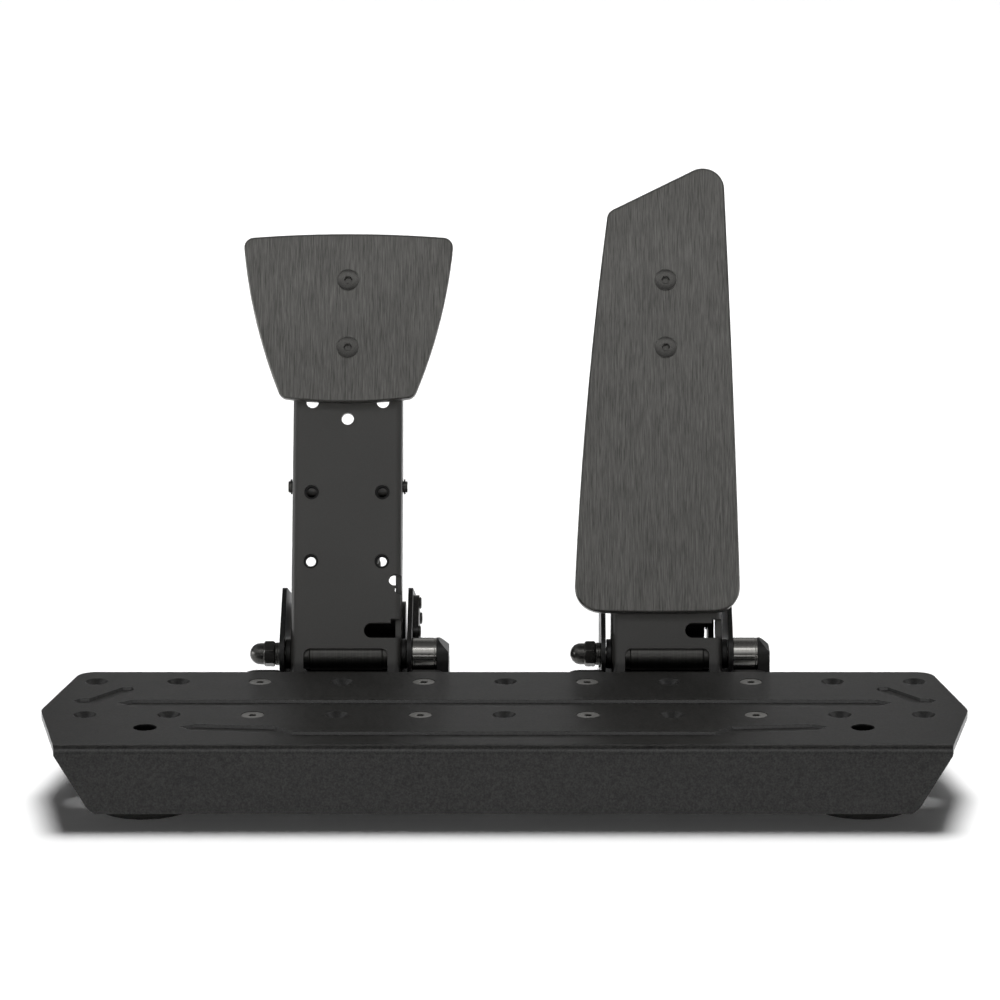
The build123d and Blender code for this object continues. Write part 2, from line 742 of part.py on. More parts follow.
def throttle_pad_face():
    """Front view of the throttle pad: tall, wider at the foot, with a slanted top."""
    rise = (throttle_pad_top_left + throttle_pad_top_right) * tan(radians(throttle_pad_slant))
    foot_left = (-throttle_pad_foot_left, throttle_pad_foot)
    foot_right = (throttle_pad_foot_right, throttle_pad_foot)
    top_right = (throttle_pad_top_right, throttle_pad_left_top + rise)
    top_left = (-throttle_pad_top_left, throttle_pad_left_top)
    foot_middle = ((foot_left[0] + foot_right[0]) / 2, throttle_pad_foot - throttle_pad_arch)
    edges = [ThreePointArc(foot_left, foot_middle, foot_right),
             ThreePointArc(foot_right, (throttle_pad_middle_right, throttle_pad_middle_height), top_right),
             Line(top_right, top_left),
             ThreePointArc(top_left, (-throttle_pad_middle_left, throttle_pad_middle_height), foot_left)]
    face = round_corners(make_face(edges), throttle_pad_foot_radius, foot_left, foot_right)
    face = round_corners(face, throttle_pad_left_radius, top_left)
    return round_corners(face, throttle_pad_right_radius, top_right)


def pad(x, face):
    front = arm_front + spacer_thickness + pad_thickness
    plate = extrude(facing_driver(-front) * face, amount=-pad_thickness)
    rim = plate.faces().sort_by(Axis.Y)[0].edges()
    plate = chamfer(rim, pad_bevel)
    holes = [Pos(0, -front, height) * Rot(X=90) * countersunk_hole(pad_thickness + overrun)
             for height in (pad_screw_low, pad_screw_high)]
    return rest_place(x) * (plate - holes)


def pad_spacers(x):
    ring = upright(spacer_radius, 0, spacer_thickness)
    ring -= upright(screw_bore / 2, -overrun, spacer_thickness + overrun)
    return [rest_place(x) * Pos(0, -arm_front, height) * Rot(X=90) * ring
            for height in (pad_screw_low, pad_screw_high)]


def pad_screws(x):
    front = arm_front + spacer_thickness + pad_thickness
    return [rest_place(x) * Pos(0, -front, height) * Rot(X=90) * countersunk_screw(pad_screw_length)
            for height in (pad_screw_low, pad_screw_high)]


def pad_nuts(x):
    return [rest_place(x) * Pos(0, arm_sheet - arm_front, height) * Rot(X=90) * hex_nut()
            for height in (pad_screw_low, pad_screw_high)]


def pivot_tube(x):
    """Tube across the arm's foot, a little thicker in the window."""
    tube = crosswise(tube_radius, -arm_inner, arm_inner)
    hub = crosswise(hub_radius, -hub_length / 2, hub_length / 2)
    tube += chamfer(hub.edges(), hub_edge)
    return rest_place(x) * (tube - crosswise(bush_diameter / 2, -arm_half, arm_half))


def pivot_bushes(x):
    """Flanged bushes pressed into both ends of the pivot tube."""
    flange_end = cheek_inner - side_play
    bush = crosswise(bush_diameter / 2, arm_half - bush_reach, arm_half)
    bush += crosswise(bush_flange_radius, arm_half, flange_end)
    bush -= crosswise(axle_diameter / 2 + running_play, 0, cheek_outer)
    return [rest_place(x) * part for part in (mirror(bush, about=Plane.YZ), bush)]


def pivot_axle(x):
    """Shoulder bolt from the sensor side through both cheeks to the acorn nut."""
    head = cheek_outer + sleeve_length
    end = -cheek_outer - washer_thickness - acorn_bore_depth
    axle = crosswise(axle_diameter / 2, end, head)
    axle += crosswise(axle_head_diameter / 2, head, head + axle_head_height)
    return Pos(x, pivot_y, pivot_z) * axle


def axle_washer(x):
    ring = crosswise(washer_radius, -cheek_outer - washer_thickness, -cheek_outer)
    return Pos(x, pivot_y, pivot_z) * (ring - crosswise(axle_hole / 2, -2 * cheek_outer, 0))


def acorn_nut(x):
    """Hex nut closed by a dome, on the left end of the axle."""
    start = cheek_outer + washer_thickness
    hexagon_part = extrude(hexagon(acorn_across), amount=acorn_hex_height)
    shoulder = upright(acorn_dome_radius, 0, acorn_length - acorn_dome_radius)
    dome = Pos(0, 0, acorn_length - acorn_dome_radius) * Sphere(acorn_dome_radius)
    bore = upright(axle_diameter / 2 + thread_play, -overrun, acorn_bore_depth + thread_play)
    nut = (hexagon_part + shoulder + dome) & upright(acorn_across, 0, acorn_length)
    return Pos(x - start, pivot_y, pivot_z) * Rot(Y=-90) * (nut - bore)


def sensor_sleeve(x):
    ring = crosswise(sleeve_radius, cheek_outer, cheek_outer + sleeve_length)
    bore = crosswise(axle_hole / 2, 0, cheek_outer + sleeve_length + overrun)
    return Pos(x, pivot_y, pivot_z) * (ring - bore)


def sensor_screw_places():
    """Side places of the two screws that hold the sensor housing's foot."""
    middle_y = pivot_y + (housing_rear - housing_front) / 2
    z = pivot_z - housing_drop + sensor_screw_rise
    return [(middle_y - sensor_screw_gap / 2, z), (middle_y + sensor_screw_gap / 2, z)]


def sensor_housing(x):
    """Cover over the axle's end on a foot that is screwed to the cheek under the sleeve."""
    inner = cheek_outer + sleeve_length
    outer = inner + housing_thickness
    depth = housing_front + housing_rear
    middle_y = (housing_rear - housing_front) / 2
    foot_z = housing_foot_height / 2 - housing_drop
    lower = Pos(middle_y, foot_z) * Rectangle(depth, housing_foot_height)
    side = make_hull([Circle(sleeve_radius).edge(), *lower.edges()])
    shoulder = sleeve_radius - housing_chamfer
    front = make_face(Polyline((inner, -housing_drop), (outer, -housing_drop), (outer, shoulder),
                               (outer - housing_chamfer, sleeve_radius), (inner, sleeve_radius), close=True))
    cover = side_prism(side, inner, outer) & extrude(facing_driver(housing_rear) * front, amount=depth)
    middle_x = (cheek_outer + outer) / 2
    foot = Pos(middle_x, middle_y, foot_z) * Box(outer - cheek_outer, depth, housing_foot_height)
    body = cover + foot
    outer_rim = body.faces().filter_by(Axis.X).sort_by(Axis.X)[-1].edges()
    body = fillet(outer_rim.filter_by(Axis.Z), housing_corner_radius)
    pocket = crosswise(axle_head_diameter / 2 + head_pocket_play, inner - overrun,
                       inner + axle_head_height + head_pocket_play)
    plug_y = housing_rear - plug_depth / 2 + overrun
    plug = Pos(middle_x, plug_y, foot_z) * Box(plug_width, plug_depth + 2 * overrun, plug_height)
    body = Pos(0, pivot_y, pivot_z) * (body - [pocket, plug])
    holes = [crosswise(sensor_screw_thread / 2, cheek_outer - overrun, outer + overrun, y, z)
             for y, z in sensor_screw_places()]
    return Pos(x, 0, 0) * (body - holes)


def sensor_screws(x):
    outer = cheek_outer + sleeve_length + housing_thickness
    screws = []
    for y, z in sensor_screw_places():
        screw = crosswise(sensor_screw_thread / 2, cheek_inner, outer, y, z)
        head = crosswise(sensor_screw_head_radius, outer, outer + sensor_screw_head_height, y, z)
        screws.append(Pos(x, 0, 0) * (screw + head))
    return screws


def stop_pin(x):
    end = cheek_outer + stop_pin_proud
    return Pos(x, 0, 0) * crosswise(stop_pin_diameter / 2, -end, end, stop_pin_y, stop_pin_z)


def clipped_pin(diameter, end, clip_start):
    """Pin along X with a groove for a clip near each end."""
    pin = crosswise(diameter / 2, -end, end)
    groove = crosswise(diameter, clip_start, clip_start + clip_thickness)
    groove -= crosswise(diameter / 2 - clip_groove_depth, 0, end)
    return pin - [groove, mirror(groove, about=Plane.YZ)]


def clip_pair(diameter, clip_start):
    """Two open rings that sit in the grooves of a clipped pin."""
    ring = crosswise(diameter / 2 + clip_wall, clip_start, clip_start + clip_thickness)
    ring -= crosswise(diameter / 2 - clip_groove_depth, 0, clip_start + 2 * clip_thickness)
    ring -= Pos(clip_start, 0, -diameter / 2 - clip_wall) * Box(4 * clip_thickness, clip_opening, diameter)
    return [mirror(ring, about=Plane.YZ), ring]


def cross_pin(x):
    """Pin across the arm, held by a clip outside each flange."""
    place = rest_place(x) * Pos(0, cross_pin_back, cross_pin_height)
    return place * clipped_pin(cross_pin_diameter, arm_half + pin_proud, arm_half + clip_inset)


def cross_pin_clips(x):
    place = rest_place(x) * Pos(0, cross_pin_back, cross_pin_height)
    return [place * clip for clip in clip_pair(cross_pin_diameter, arm_half + clip_inset)]


def rear_pin(x):
    """Pin between the bracket's ears, held by a clip inside each ear."""
    clip_start = bracket_inner - bracket_clip_room - clip_thickness
    return Pos(x, rear_pin_y, rear_pin_z) * clipped_pin(rear_pin_diameter, bracket_outer, clip_start)


def rear_pin_clips(x):
    clip_start = bracket_inner - bracket_clip_room - clip_thickness
    return [Pos(x, rear_pin_y, rear_pin_z) * clip for clip in clip_pair(rear_pin_diameter, clip_start)]


def plunger(x):
    """Cross head on the arm's pin, collar for the spring, and the sliding rod."""
    half = arm_inner - side_play
    part = Pos(0, 0, unit_length) * crosswise(cross_head_radius, -half, half)
    part += upright(collar_radius, unit_length - upper_seat, unit_length - upper_seat + collar_thickness)
    part += upright(guide_radius, unit_length - upper_seat, unit_length)
    rod = upright(rod_diameter / 2, unit_length - rod_length, unit_length)
    part += chamfer(rod.edges().group_by(Axis.Z)[0], rod_edge)
    bore = crosswise(cross_pin_diameter / 2 + running_play, -arm_half, arm_half)
    return unit_place(x) * (part - Pos(0, 0, unit_length) * bore)


def guide(x):
    """Barrel on the rear pin, collar for the spring, and the tube that guides the rod."""
    half = bracket_inner - barrel_end_gap
    part = crosswise(barrel_radius, -half, half) + upright(guide_radius, 0, guide_top)
    part += upright(collar_radius, lower_seat - collar_thickness, lower_seat)
    part -= upright(guide_bore / 2, guide_bore_bottom, guide_top + overrun)
    bore = crosswise(rear_pin_diameter / 2 + running_play, -cheek_outer, cheek_outer)
    return unit_place(x) * (part - bore)


def biarc(start, start_way, end, end_way):
    """Two arcs that join smoothly and leave and arrive along the given directions."""
    gap = end - start
    ways = start_way + end_way
    a = 4 - ways.dot(ways)
    b = 2 * gap.dot(ways)
    reach = (sqrt(b * b + 4 * a * gap.dot(gap)) - b) / (2 * a)
    corner = start + start_way * reach
    joint = (corner + end - end_way * reach) * (1 / 2)
    return [TangentArc(start, joint, tangent=start_way), TangentArc(joint, end, tangent=joint - corner)]


def spring(x, wire, turns, name):
    """Open coil between the two collars, one tube on two arcs for each half turn."""
    radius = spring_radius - wire / 2
    low = lower_seat + wire / 2 + spring_play
    high = unit_length - upper_seat - wire / 2 - spring_play
    climb = (high - low) / (2 * pi * turns)

    def place(angle):
        return Vector(radius * cos(angle), radius * sin(angle), low + climb * angle)

    def way(angle):
        return Vector(-radius * sin(angle), radius * cos(angle), climb).normalized()

    arcs = []
    for step in range(2 * turns):
        arcs += biarc(place(pi * step), way(pi * step), place(pi * (step + 1)), way(pi * (step + 1)))
    path = Wire(arcs)
    coil = sweep(Plane(place(0), z_dir=way(0)) * Circle(wire / 2), path=path)
    points = [arc @ (step / half_turn_steps) for arc in arcs for step in range(half_turn_steps)]
    apart = 2 * half_turn_steps
    gap = min((b - a).length for i, a in enumerate(points) for b in points[i + apart:]) - wire
    print(f"{name}: least gap between turns {gap:.2f} mm")
    return unit_place(x) * coil


def bumper(x):
    """Elastomer sleeve on the guide's end, which cushions the last of the brake's travel."""
    sleeve = upright(bumper_radius, guide_top, guide_top + bumper_length)
    end = guide_top + bumper_length
    sleeve -= upright(rod_diameter / 2 + bumper_play, guide_top - overrun, end + overrun)
    pitch = bumper_length / (bumper_grooves + 1)
    for step in range(1, bumper_grooves + 1):
        z = guide_top + pitch * step
        ring = upright(bumper_radius + overrun, z - bumper_groove_width / 2, z + bumper_groove_width / 2)
        sleeve -= ring - upright(bumper_radius - bumper_groove_depth, guide_top, guide_top + bumper_length)
    return unit_place(x) * sleeve


def side_plate_places():
    """Side places of the three corners of the brake's outer plate."""
    front = (pivot_y + side_plate_back, pivot_z + side_plate_low)
    upper = (front[0] + side_plate_length, front[1] + side_plate_rise)
    rear = (upper[0] + side_plate_rise, front[1])
    return [front, upper, rear]


def side_plate(x):
    corners = [(Pos(y, z) * Circle(side_plate_radius)).edge() for y, z in side_plate_places()]
    plate = side_prism(make_hull(corners), cheek_outer, cheek_outer + side_plate_thickness)
    holes = [crosswise(side_screw_thread / 2, 0, 2 * cheek_outer, y, z) for y, z in side_plate_places()]
    return Pos(x, 0, 0) * (plate - holes)


def side_screws(x):
    outer = cheek_outer + side_plate_thickness
    screws = []
    for y, z in side_plate_places():
        screw = crosswise(side_screw_thread / 2, cheek_inner, outer, y, z)
        head = crosswise(side_screw_radius, outer, outer + side_screw_height, y, z)
        screws.append(Pos(x, 0, 0) * (screw + head))
    return screws


def pedal_parts(name, x, face, wire, turns, with_side_plate):
    """Every piece of one pedal module, by name."""
    parts = {
        "frame": frame(x, with_side_plate),
        "frame_feet": frame_feet(x),
        "rear_bracket": rear_bracket(x),
        "rear_bracket_screws": rear_bracket_screws(x),
        "arm": arm(x),
        "arm_inserts": arm_inserts(x),
        "pad": pad(x, face),
        "pad_spacers": pad_spacers(x),
        "pad_screws": pad_screws(x),
        "pad_nuts": pad_nuts(x),
        "pivot_tube": pivot_tube(x),
        "pivot_bushes": pivot_bushes(x),
        "pivot_axle": pivot_axle(x),
        "axle_washer": axle_washer(x),
        "acorn_nut": acorn_nut(x),
        "sensor_sleeve": sensor_sleeve(x),
        "sensor_housing": sensor_housing(x),
        "sensor_screws": sensor_screws(x),
        "stop_pin": stop_pin(x),
        "cross_pin": cross_pin(x),
        "cross_pin_clips": cross_pin_clips(x),
        "rear_pin": rear_pin(x),
        "rear_pin_clips": rear_pin_clips(x),
        "plunger": plunger(x),
        "guide": guide(x),
        "spring": spring(x, wire, turns, name + "_spring"),
    }
    if with_side_plate:
        parts["side_plate"] = side_plate(x)
        parts["side_screws"] = side_screws(x)
        parts["bumper"] = bumper(x)
    return {name + "_" + piece: shape for piece, shape in parts.items()}


def all_parts():
    parts = {
        "base_plate": base_plate(),
        "base_screws": base_screws(),
        "base_nuts": base_nuts(),
        "front_feet": front_feet(),
    }
    brake = pedal_parts("brake", -module_x, brake_pad_face(), brake_wire, brake_turns, True)
    throttle = pedal_parts("throttle", module_x, throttle_pad_face(), throttle_wire, throttle_turns, False)
    return parts | brake | throttle


os.makedirs("parts", exist_ok=True)
for node, shape in all_parts().items():
    solids = Compound(children=shape) if isinstance(shape, list) else shape
    export_step(solids, f"parts/{node}.step")
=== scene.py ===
import bmesh
import bpy
import json
from math import cos, pi, radians, sin
from mathutils import Matrix, Vector


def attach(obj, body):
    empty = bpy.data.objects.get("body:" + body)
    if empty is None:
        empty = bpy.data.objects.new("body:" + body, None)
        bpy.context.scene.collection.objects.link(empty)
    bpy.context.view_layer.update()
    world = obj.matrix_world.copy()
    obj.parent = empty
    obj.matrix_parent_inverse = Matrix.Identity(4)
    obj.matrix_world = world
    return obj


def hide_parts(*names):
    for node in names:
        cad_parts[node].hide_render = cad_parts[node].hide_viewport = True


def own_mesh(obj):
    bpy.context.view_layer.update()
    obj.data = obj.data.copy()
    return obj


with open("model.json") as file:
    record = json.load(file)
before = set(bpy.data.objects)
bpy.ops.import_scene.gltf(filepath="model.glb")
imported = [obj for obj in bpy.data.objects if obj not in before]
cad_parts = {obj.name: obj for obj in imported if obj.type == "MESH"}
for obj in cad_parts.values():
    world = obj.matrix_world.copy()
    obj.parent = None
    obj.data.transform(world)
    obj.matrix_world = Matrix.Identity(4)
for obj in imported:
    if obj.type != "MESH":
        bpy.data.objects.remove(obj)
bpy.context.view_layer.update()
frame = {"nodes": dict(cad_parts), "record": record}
nodes = frame["nodes"]
record = frame["record"]
slotOf = {part["node"]: part["material_slot"] for part in record["subparts"]}
bodyOf = {node: body for body, names in record["behaviour"]["bodies"].items() for node in names}
mm = 0.001
print("frame loaded:", len(nodes), "nodes")

# Camera at the photograph's angle: a long lens, a little above the pads
photoCamera = {"lens": 160.4, "sensor": 36.0, "x": 19.8, "y": -1856.0, "z": 559.1,
               "pitch": 13.65, "shiftX": -0.0518, "nearest": 50.0, "farthest": 40000.0}

# Plain studio: pale surround that shines least near the horizon, one broad soft light and soft boxes
studio = {
    "surround": 0.025,
    "seen": 1.0,
    "glossLow": 0.06, "glossHigh": 1.0, "glossRise": (0.2, 0.6), "glossFall": (0.7, 0.98, 0.15),
    "glossBack": (-0.3, 0.6, 0.5),
    "floorHalf": 9000.0,
    "floorColour": 0.97,
    "floorLift": 0.01,
    "overhead": {"strength": 3.45, "angle": 24.0, "turn": (-26, 0, -2)},
    "boxes": [
        {"name": "frontFill", "place": (-200, -1950, 130), "wide": 1500, "high": 240, "power": 15.0,
         "glossy": False},
        {"name": "rearFill", "place": (150, 1500, 1400), "wide": 1500, "high": 500, "power": 11.0,
         "glossy": False},
        {"name": "lowStrip", "place": (0, -1900, 110), "wide": 2600, "high": 110, "power": 1.6,
         "glossy": True},
        {"name": "highStrip", "place": (-150, -1150, 1500), "wide": 1700, "high": 220, "power": 2.5,
         "glossy": True},
        {"name": "leftStrip", "place": (-1500, 30, 175), "wide": 900, "high": 260, "power": 6.0,
         "glossy": True},
        {"name": "rightStrip", "place": (1500, 30, 175), "wide": 900, "high": 260, "power": 3.2,
         "glossy": True},
        {"name": "rearStrip", "place": (0, 1100, 60), "wide": 620, "high": 130, "power": 0.6,
         "glossy": True},
    ],
    "aim": (0, 0, 90),
}

# Finishes, by the record's slots. Colours are linear, sizes in mm
finishes = {
    "black_powder_coat": {
        "deep": 0.001, "light": 0.022, "worn": 0.05, "wear": 0.3, "edge": 0.3, "rough": (0.29, 0.36),
        "metal": 0.0, "specular": 0.45, "grain": (0.75, 0.75, 0.75), "bump": 0.35, "depth": 0.06},
    "satin_black_coat": {
        "deep": 0.043, "light": 0.05, "worn": 0.06, "wear": 0.25, "edge": 0.3, "rough": (0.36, 0.46),
        "metal": 0.0, "specular": 0.35, "grain": (0.3, 0.3, 0.3), "bump": 0.12, "depth": 0.02},
    "brushed_aluminium": {
        "deep": 0.056, "light": 0.126, "worn": 0.30, "wear": 0.15, "edge": 0.9, "rough": (0.34, 0.42),
        "metal": 0.85, "specular": 0.5, "grain": (0.2, 0.2, 6.0), "bump": 0.12, "depth": 0.01,
        "turn": -25.0},
    "steel": {
        "deep": 0.30, "light": 0.36, "worn": 0.5, "wear": 0.2, "edge": 0.25, "rough": (0.16, 0.24),
        "metal": 1.0, "specular": 0.5, "grain": (0.09, 30.0, 30.0), "bump": 0.05, "depth": 0.004},
    "black_oxide_steel": {
        "deep": 0.045, "light": 0.085, "worn": 0.25, "wear": 0.35, "edge": 0.25, "rough": (0.26, 0.36),
        "metal": 0.9, "specular": 0.5, "grain": (0.2, 0.2, 0.2), "bump": 0.1, "depth": 0.01},
    "black_plastic": {
        "deep": 0.005, "light": 0.012, "worn": 0.03, "wear": 0.2, "edge": 0.3, "rough": (0.40, 0.52),
        "metal": 0.0, "specular": 0.3, "grain": (0.25, 0.25, 0.25), "bump": 0.2, "depth": 0.02},
    "rubber": {
        "deep": 0.010, "light": 0.020, "worn": 0.04, "wear": 0.2, "edge": 0.5, "rough": (0.70, 0.85),
        "metal": 0.0, "specular": 0.3, "grain": (0.6, 0.6, 0.6), "bump": 0.25, "depth": 0.04},
    "elastomer": {
        "deep": 0.040, "light": 0.060, "worn": 0.09, "wear": 0.2, "edge": 0.4, "rough": (0.55, 0.68),
        "metal": 0.0, "specular": 0.4, "grain": (0.5, 0.5, 0.5), "bump": 0.15, "depth": 0.03},
}


def addNode(tree, kind, inputs=None, **settings):
    node = tree.nodes.new(kind)
    for name, value in settings.items():
        setattr(node, name, value)
    for name, value in (inputs or {}).items():
        if isinstance(value, bpy.types.NodeSocket):
            tree.links.new(value, node.inputs[name])
        else:
            node.inputs[name].default_value = value
    return node


def newGroup(name, kind, inputs, outputs):
    group = bpy.data.node_groups.new(name, kind)
    for label, socketType in inputs:
        group.interface.new_socket(label, in_out="INPUT", socket_type=socketType)
    for label, socketType in outputs:
        group.interface.new_socket(label, in_out="OUTPUT", socket_type=socketType)
    entry = group.nodes.new("NodeGroupInput").outputs
    leave = group.nodes.new("NodeGroupOutput").inputs
    return group, entry, leave


def mathNode(tree, operation, a, b=0.0, clamp=False):
    return addNode(tree, "ShaderNodeMath", {0: a, 1: b}, operation=operation, use_clamp=clamp).outputs[0]


def makeCamera(values):
    data = bpy.data.cameras.new("photoCamera")
    data.lens = values["lens"]
    data.sensor_width = values["sensor"]
    data.shift_x = values["shiftX"]
    data.clip_start = values["nearest"] * mm
    data.clip_end = values["farthest"] * mm
    camera = bpy.data.objects.new("photoCamera", data)
    camera.location = (values["x"] * mm, values["y"] * mm, values["z"] * mm)
    camera.rotation_euler = (radians(90 - values["pitch"]), 0, 0)
    bpy.context.scene.collection.objects.link(camera)
    bpy.context.scene.camera = camera


def makeWorld(values):
    # White where it is seen, dimmer where it lights, and for gloss brightest high in front
    world = bpy.data.worlds.new("studioSurround")
    world.use_nodes = True
    tree = world.node_tree
    tree.nodes.clear()
    path = addNode(tree, "ShaderNodeLightPath").outputs
    around = addNode(tree, "ShaderNodeTexCoord").outputs["Generated"]
    ways = addNode(tree, "ShaderNodeSeparateXYZ", {"Vector": around}).outputs
    low, high = values["glossRise"]
    gloss = addNode(tree, "ShaderNodeMapRange",
                    {"Value": ways["Z"], "From Min": low, "From Max": high,
                     "To Min": values["glossLow"], "To Max": values["glossHigh"]},
                    interpolation_type="SMOOTHSTEP").outputs[0]
    for way, part in (("Z", values["glossFall"]), ("Y", values["glossBack"])):
        fade = addNode(tree, "ShaderNodeMapRange",
                       {"Value": ways[way], "From Min": part[0], "From Max": part[1],
                        "To Min": 1.0, "To Max": part[2]}, interpolation_type="SMOOTHSTEP").outputs[0]
        gloss = mathNode(tree, "MULTIPLY", gloss, fade)
    gloss = mathNode(tree, "SUBTRACT", gloss, values["surround"])
    gloss = mathNode(tree, "MULTIPLY", gloss, path["Is Glossy Ray"])
    seen = mathNode(tree, "MAXIMUM", path["Is Camera Ray"], path["Is Transmission Ray"])
    seen = mathNode(tree, "MULTIPLY", seen, values["seen"] - values["surround"])
    strength = mathNode(tree, "ADD", mathNode(tree, "ADD", gloss, seen), values["surround"])
    background = addNode(tree, "ShaderNodeBackground", {"Color": (1, 1, 1, 1), "Strength": strength})
    addNode(tree, "ShaderNodeOutputWorld", {"Surface": background.outputs[0]})
    bpy.context.scene.world = world


def makeFloor(values):
    half = values["floorHalf"] * mm
    mesh = bpy.data.meshes.new("floor")
    mesh.from_pydata([(-half, -half, 0), (half, -half, 0), (half, half, 0), (-half, half, 0)], [],
                     [(0, 1, 2, 3)])
    material = bpy.data.materials.new("paleFloor")
    material.use_nodes = True
    tree = material.node_tree
    tree.nodes.clear()
    path = addNode(tree, "ShaderNodeLightPath").outputs
    seen = mathNode(tree, "MAXIMUM", path["Is Camera Ray"], path["Is Glossy Ray"])
    seen = mathNode(tree, "MAXIMUM", seen, path["Is Transmission Ray"])
    colour = (values["floorColour"],) * 3 + (1,)
    diffuse = addNode(tree, "ShaderNodeBsdfDiffuse", {"Color": colour})
    lift = mathNode(tree, "MULTIPLY", seen, values["floorLift"])
    glow = addNode(tree, "ShaderNodeEmission", {"Color": (1, 1, 1, 1), "Strength": lift})
    both = addNode(tree, "ShaderNodeAddShader", {0: diffuse.outputs[0], 1: glow.outputs[0]})
    addNode(tree, "ShaderNodeOutputMaterial", {"Surface": both.outputs[0]})
    mesh.materials.append(material)
    floor = bpy.data.objects.new("floor", mesh)
    bpy.context.scene.collection.objects.link(floor)


def makeLights(values):
    aim = Vector(values["aim"]) * mm
    over = values["overhead"]
    data = bpy.data.lights.new("overhead", "SUN")
    data.energy = over["strength"]
    data.angle = radians(over["angle"])
    light = bpy.data.objects.new("overhead", data)
    light.rotation_euler = [radians(turn) for turn in over["turn"]]
    light.visible_glossy = False
    bpy.context.scene.collection.objects.link(light)
    for box in values["boxes"]:
        data = bpy.data.lights.new(box["name"], "AREA")
        data.shape = "RECTANGLE"
        data.size = box["wide"] * mm
        data.size_y = box["high"] * mm
        data.energy = box["power"]
        light = bpy.data.objects.new(box["name"], data)
        light.location = Vector(box["place"]) * mm
        light.rotation_euler = (aim - light.location).to_track_quat("-Z", "Y").to_euler()
        light.visible_glossy = box["glossy"]
        light.visible_diffuse = not box["glossy"]
        light.visible_camera = False
        bpy.context.scene.collection.objects.link(light)


bpy.context.scene.view_settings.view_transform = "Standard"
makeCamera(photoCamera)
makeWorld(studio)
makeFloor(studio)
makeLights(studio)
print("studio ready")


# Patterns that all finishes share: two sizes of grain, patches along worn edges and clouds of gloss
patterns = {
    "fine": {"Scale": 1.0, "Detail": 3.0, "Roughness": 0.6},
    "broad": {"Scale": 0.45, "Detail": 2.0, "Roughness": 0.5},
    "fineShare": 0.65, "broadShare": 0.35, "fleck": (0.38, 0.62),
    "bevelSamples": 4, "edgeOff": (0.01, 0.16),
    "patches": {"Scale": 90.0, "Detail": 4.0}, "patchRange": (0.35, 0.65), "patchLeast": 0.35,
    "cloud": {"Scale": 28.0, "Detail": 5.0, "Roughness": 0.55}, "cloudRange": (0.3, 0.7),
}
tint = {"green": 0.98, "blue": 0.93}


def spanNode(tree, value, span, inputs=None):
    # The value's place within a span, from 0 to 1 unless the inputs say otherwise
    return addNode(tree, "ShaderNodeMapRange",
                   {"Value": value, "From Min": span[0], "From Max": span[1], **(inputs or {})}).outputs[0]


def makeGrainGroup():
    # Grain that runs evenly or is drawn out along one way, for coats, brushing and turning lines
    group, entry, leave = newGroup(
        "surfaceGrain", "ShaderNodeTree",
        [("Vector", "NodeSocketVector"), ("Size", "NodeSocketVector")],
        [("Height", "NodeSocketFloat"), ("Fleck", "NodeSocketFloat")])
    spread = addNode(group, "ShaderNodeVectorMath", {0: entry["Vector"], 1: entry["Size"]},
                     operation="DIVIDE").outputs[0]
    fine = addNode(group, "ShaderNodeTexNoise", {"Vector": spread, **patterns["fine"]}).outputs[0]
    broad = addNode(group, "ShaderNodeTexNoise", {"Vector": spread, **patterns["broad"]}).outputs[0]
    fine = mathNode(group, "MULTIPLY", fine, patterns["fineShare"])
    mixed = mathNode(group, "ADD", fine, mathNode(group, "MULTIPLY", broad, patterns["broadShare"]))
    group.links.new(mixed, leave["Height"])
    group.links.new(spanNode(group, mixed, patterns["fleck"]), leave["Fleck"])
    return group


def makeEdgeGroup():
    # Where an edge is rounded off: the eased normal, and a broken mask along the edge for wear
    group, entry, leave = newGroup(
        "edgeWear", "ShaderNodeTree",
        [("Vector", "NodeSocketVector"), ("Radius", "NodeSocketFloat"), ("Amount", "NodeSocketFloat")],
        [("Normal", "NodeSocketVector"), ("Worn", "NodeSocketFloat")])
    eased = addNode(group, "ShaderNodeBevel", {"Radius": entry["Radius"]},
                    samples=patterns["bevelSamples"]).outputs[0]
    plain = addNode(group, "ShaderNodeNewGeometry").outputs["Normal"]
    same = addNode(group, "ShaderNodeVectorMath", {0: eased, 1: plain}, operation="DOT_PRODUCT")
    off = mathNode(group, "SUBTRACT", 1.0, same.outputs["Value"])
    edge = spanNode(group, off, patterns["edgeOff"])
    patches = addNode(group, "ShaderNodeTexNoise", {"Vector": entry["Vector"], **patterns["patches"]})
    broken = spanNode(group, patches.outputs[0], patterns["patchRange"], {"To Min": patterns["patchLeast"]})
    worn = mathNode(group, "MULTIPLY", edge, broken)
    group.links.new(eased, leave["Normal"])
    group.links.new(mathNode(group, "MULTIPLY", worn, entry["Amount"], clamp=True), leave["Worn"])
    return group


def makeGlossGroup():
    # Faint cloudy change of gloss, as handling and dust leave
    group, entry, leave = newGroup(
        "handledGloss", "ShaderNodeTree",
        [("Vector", "NodeSocketVector"), ("Low", "NodeSocketFloat"), ("High", "NodeSocketFloat")],
        [("Roughness", "NodeSocketFloat")])
    cloud = addNode(group, "ShaderNodeTexNoise", {"Vector": entry["Vector"], **patterns["cloud"]})
    rough = spanNode(group, cloud.outputs[0], patterns["cloudRange"],
                     {"To Min": entry["Low"], "To Max": entry["High"]})
    group.links.new(rough, leave["Roughness"])
    return group


grainGroup = makeGrainGroup()
edgeGroup = makeEdgeGroup()
glossGroup = makeGlossGroup()


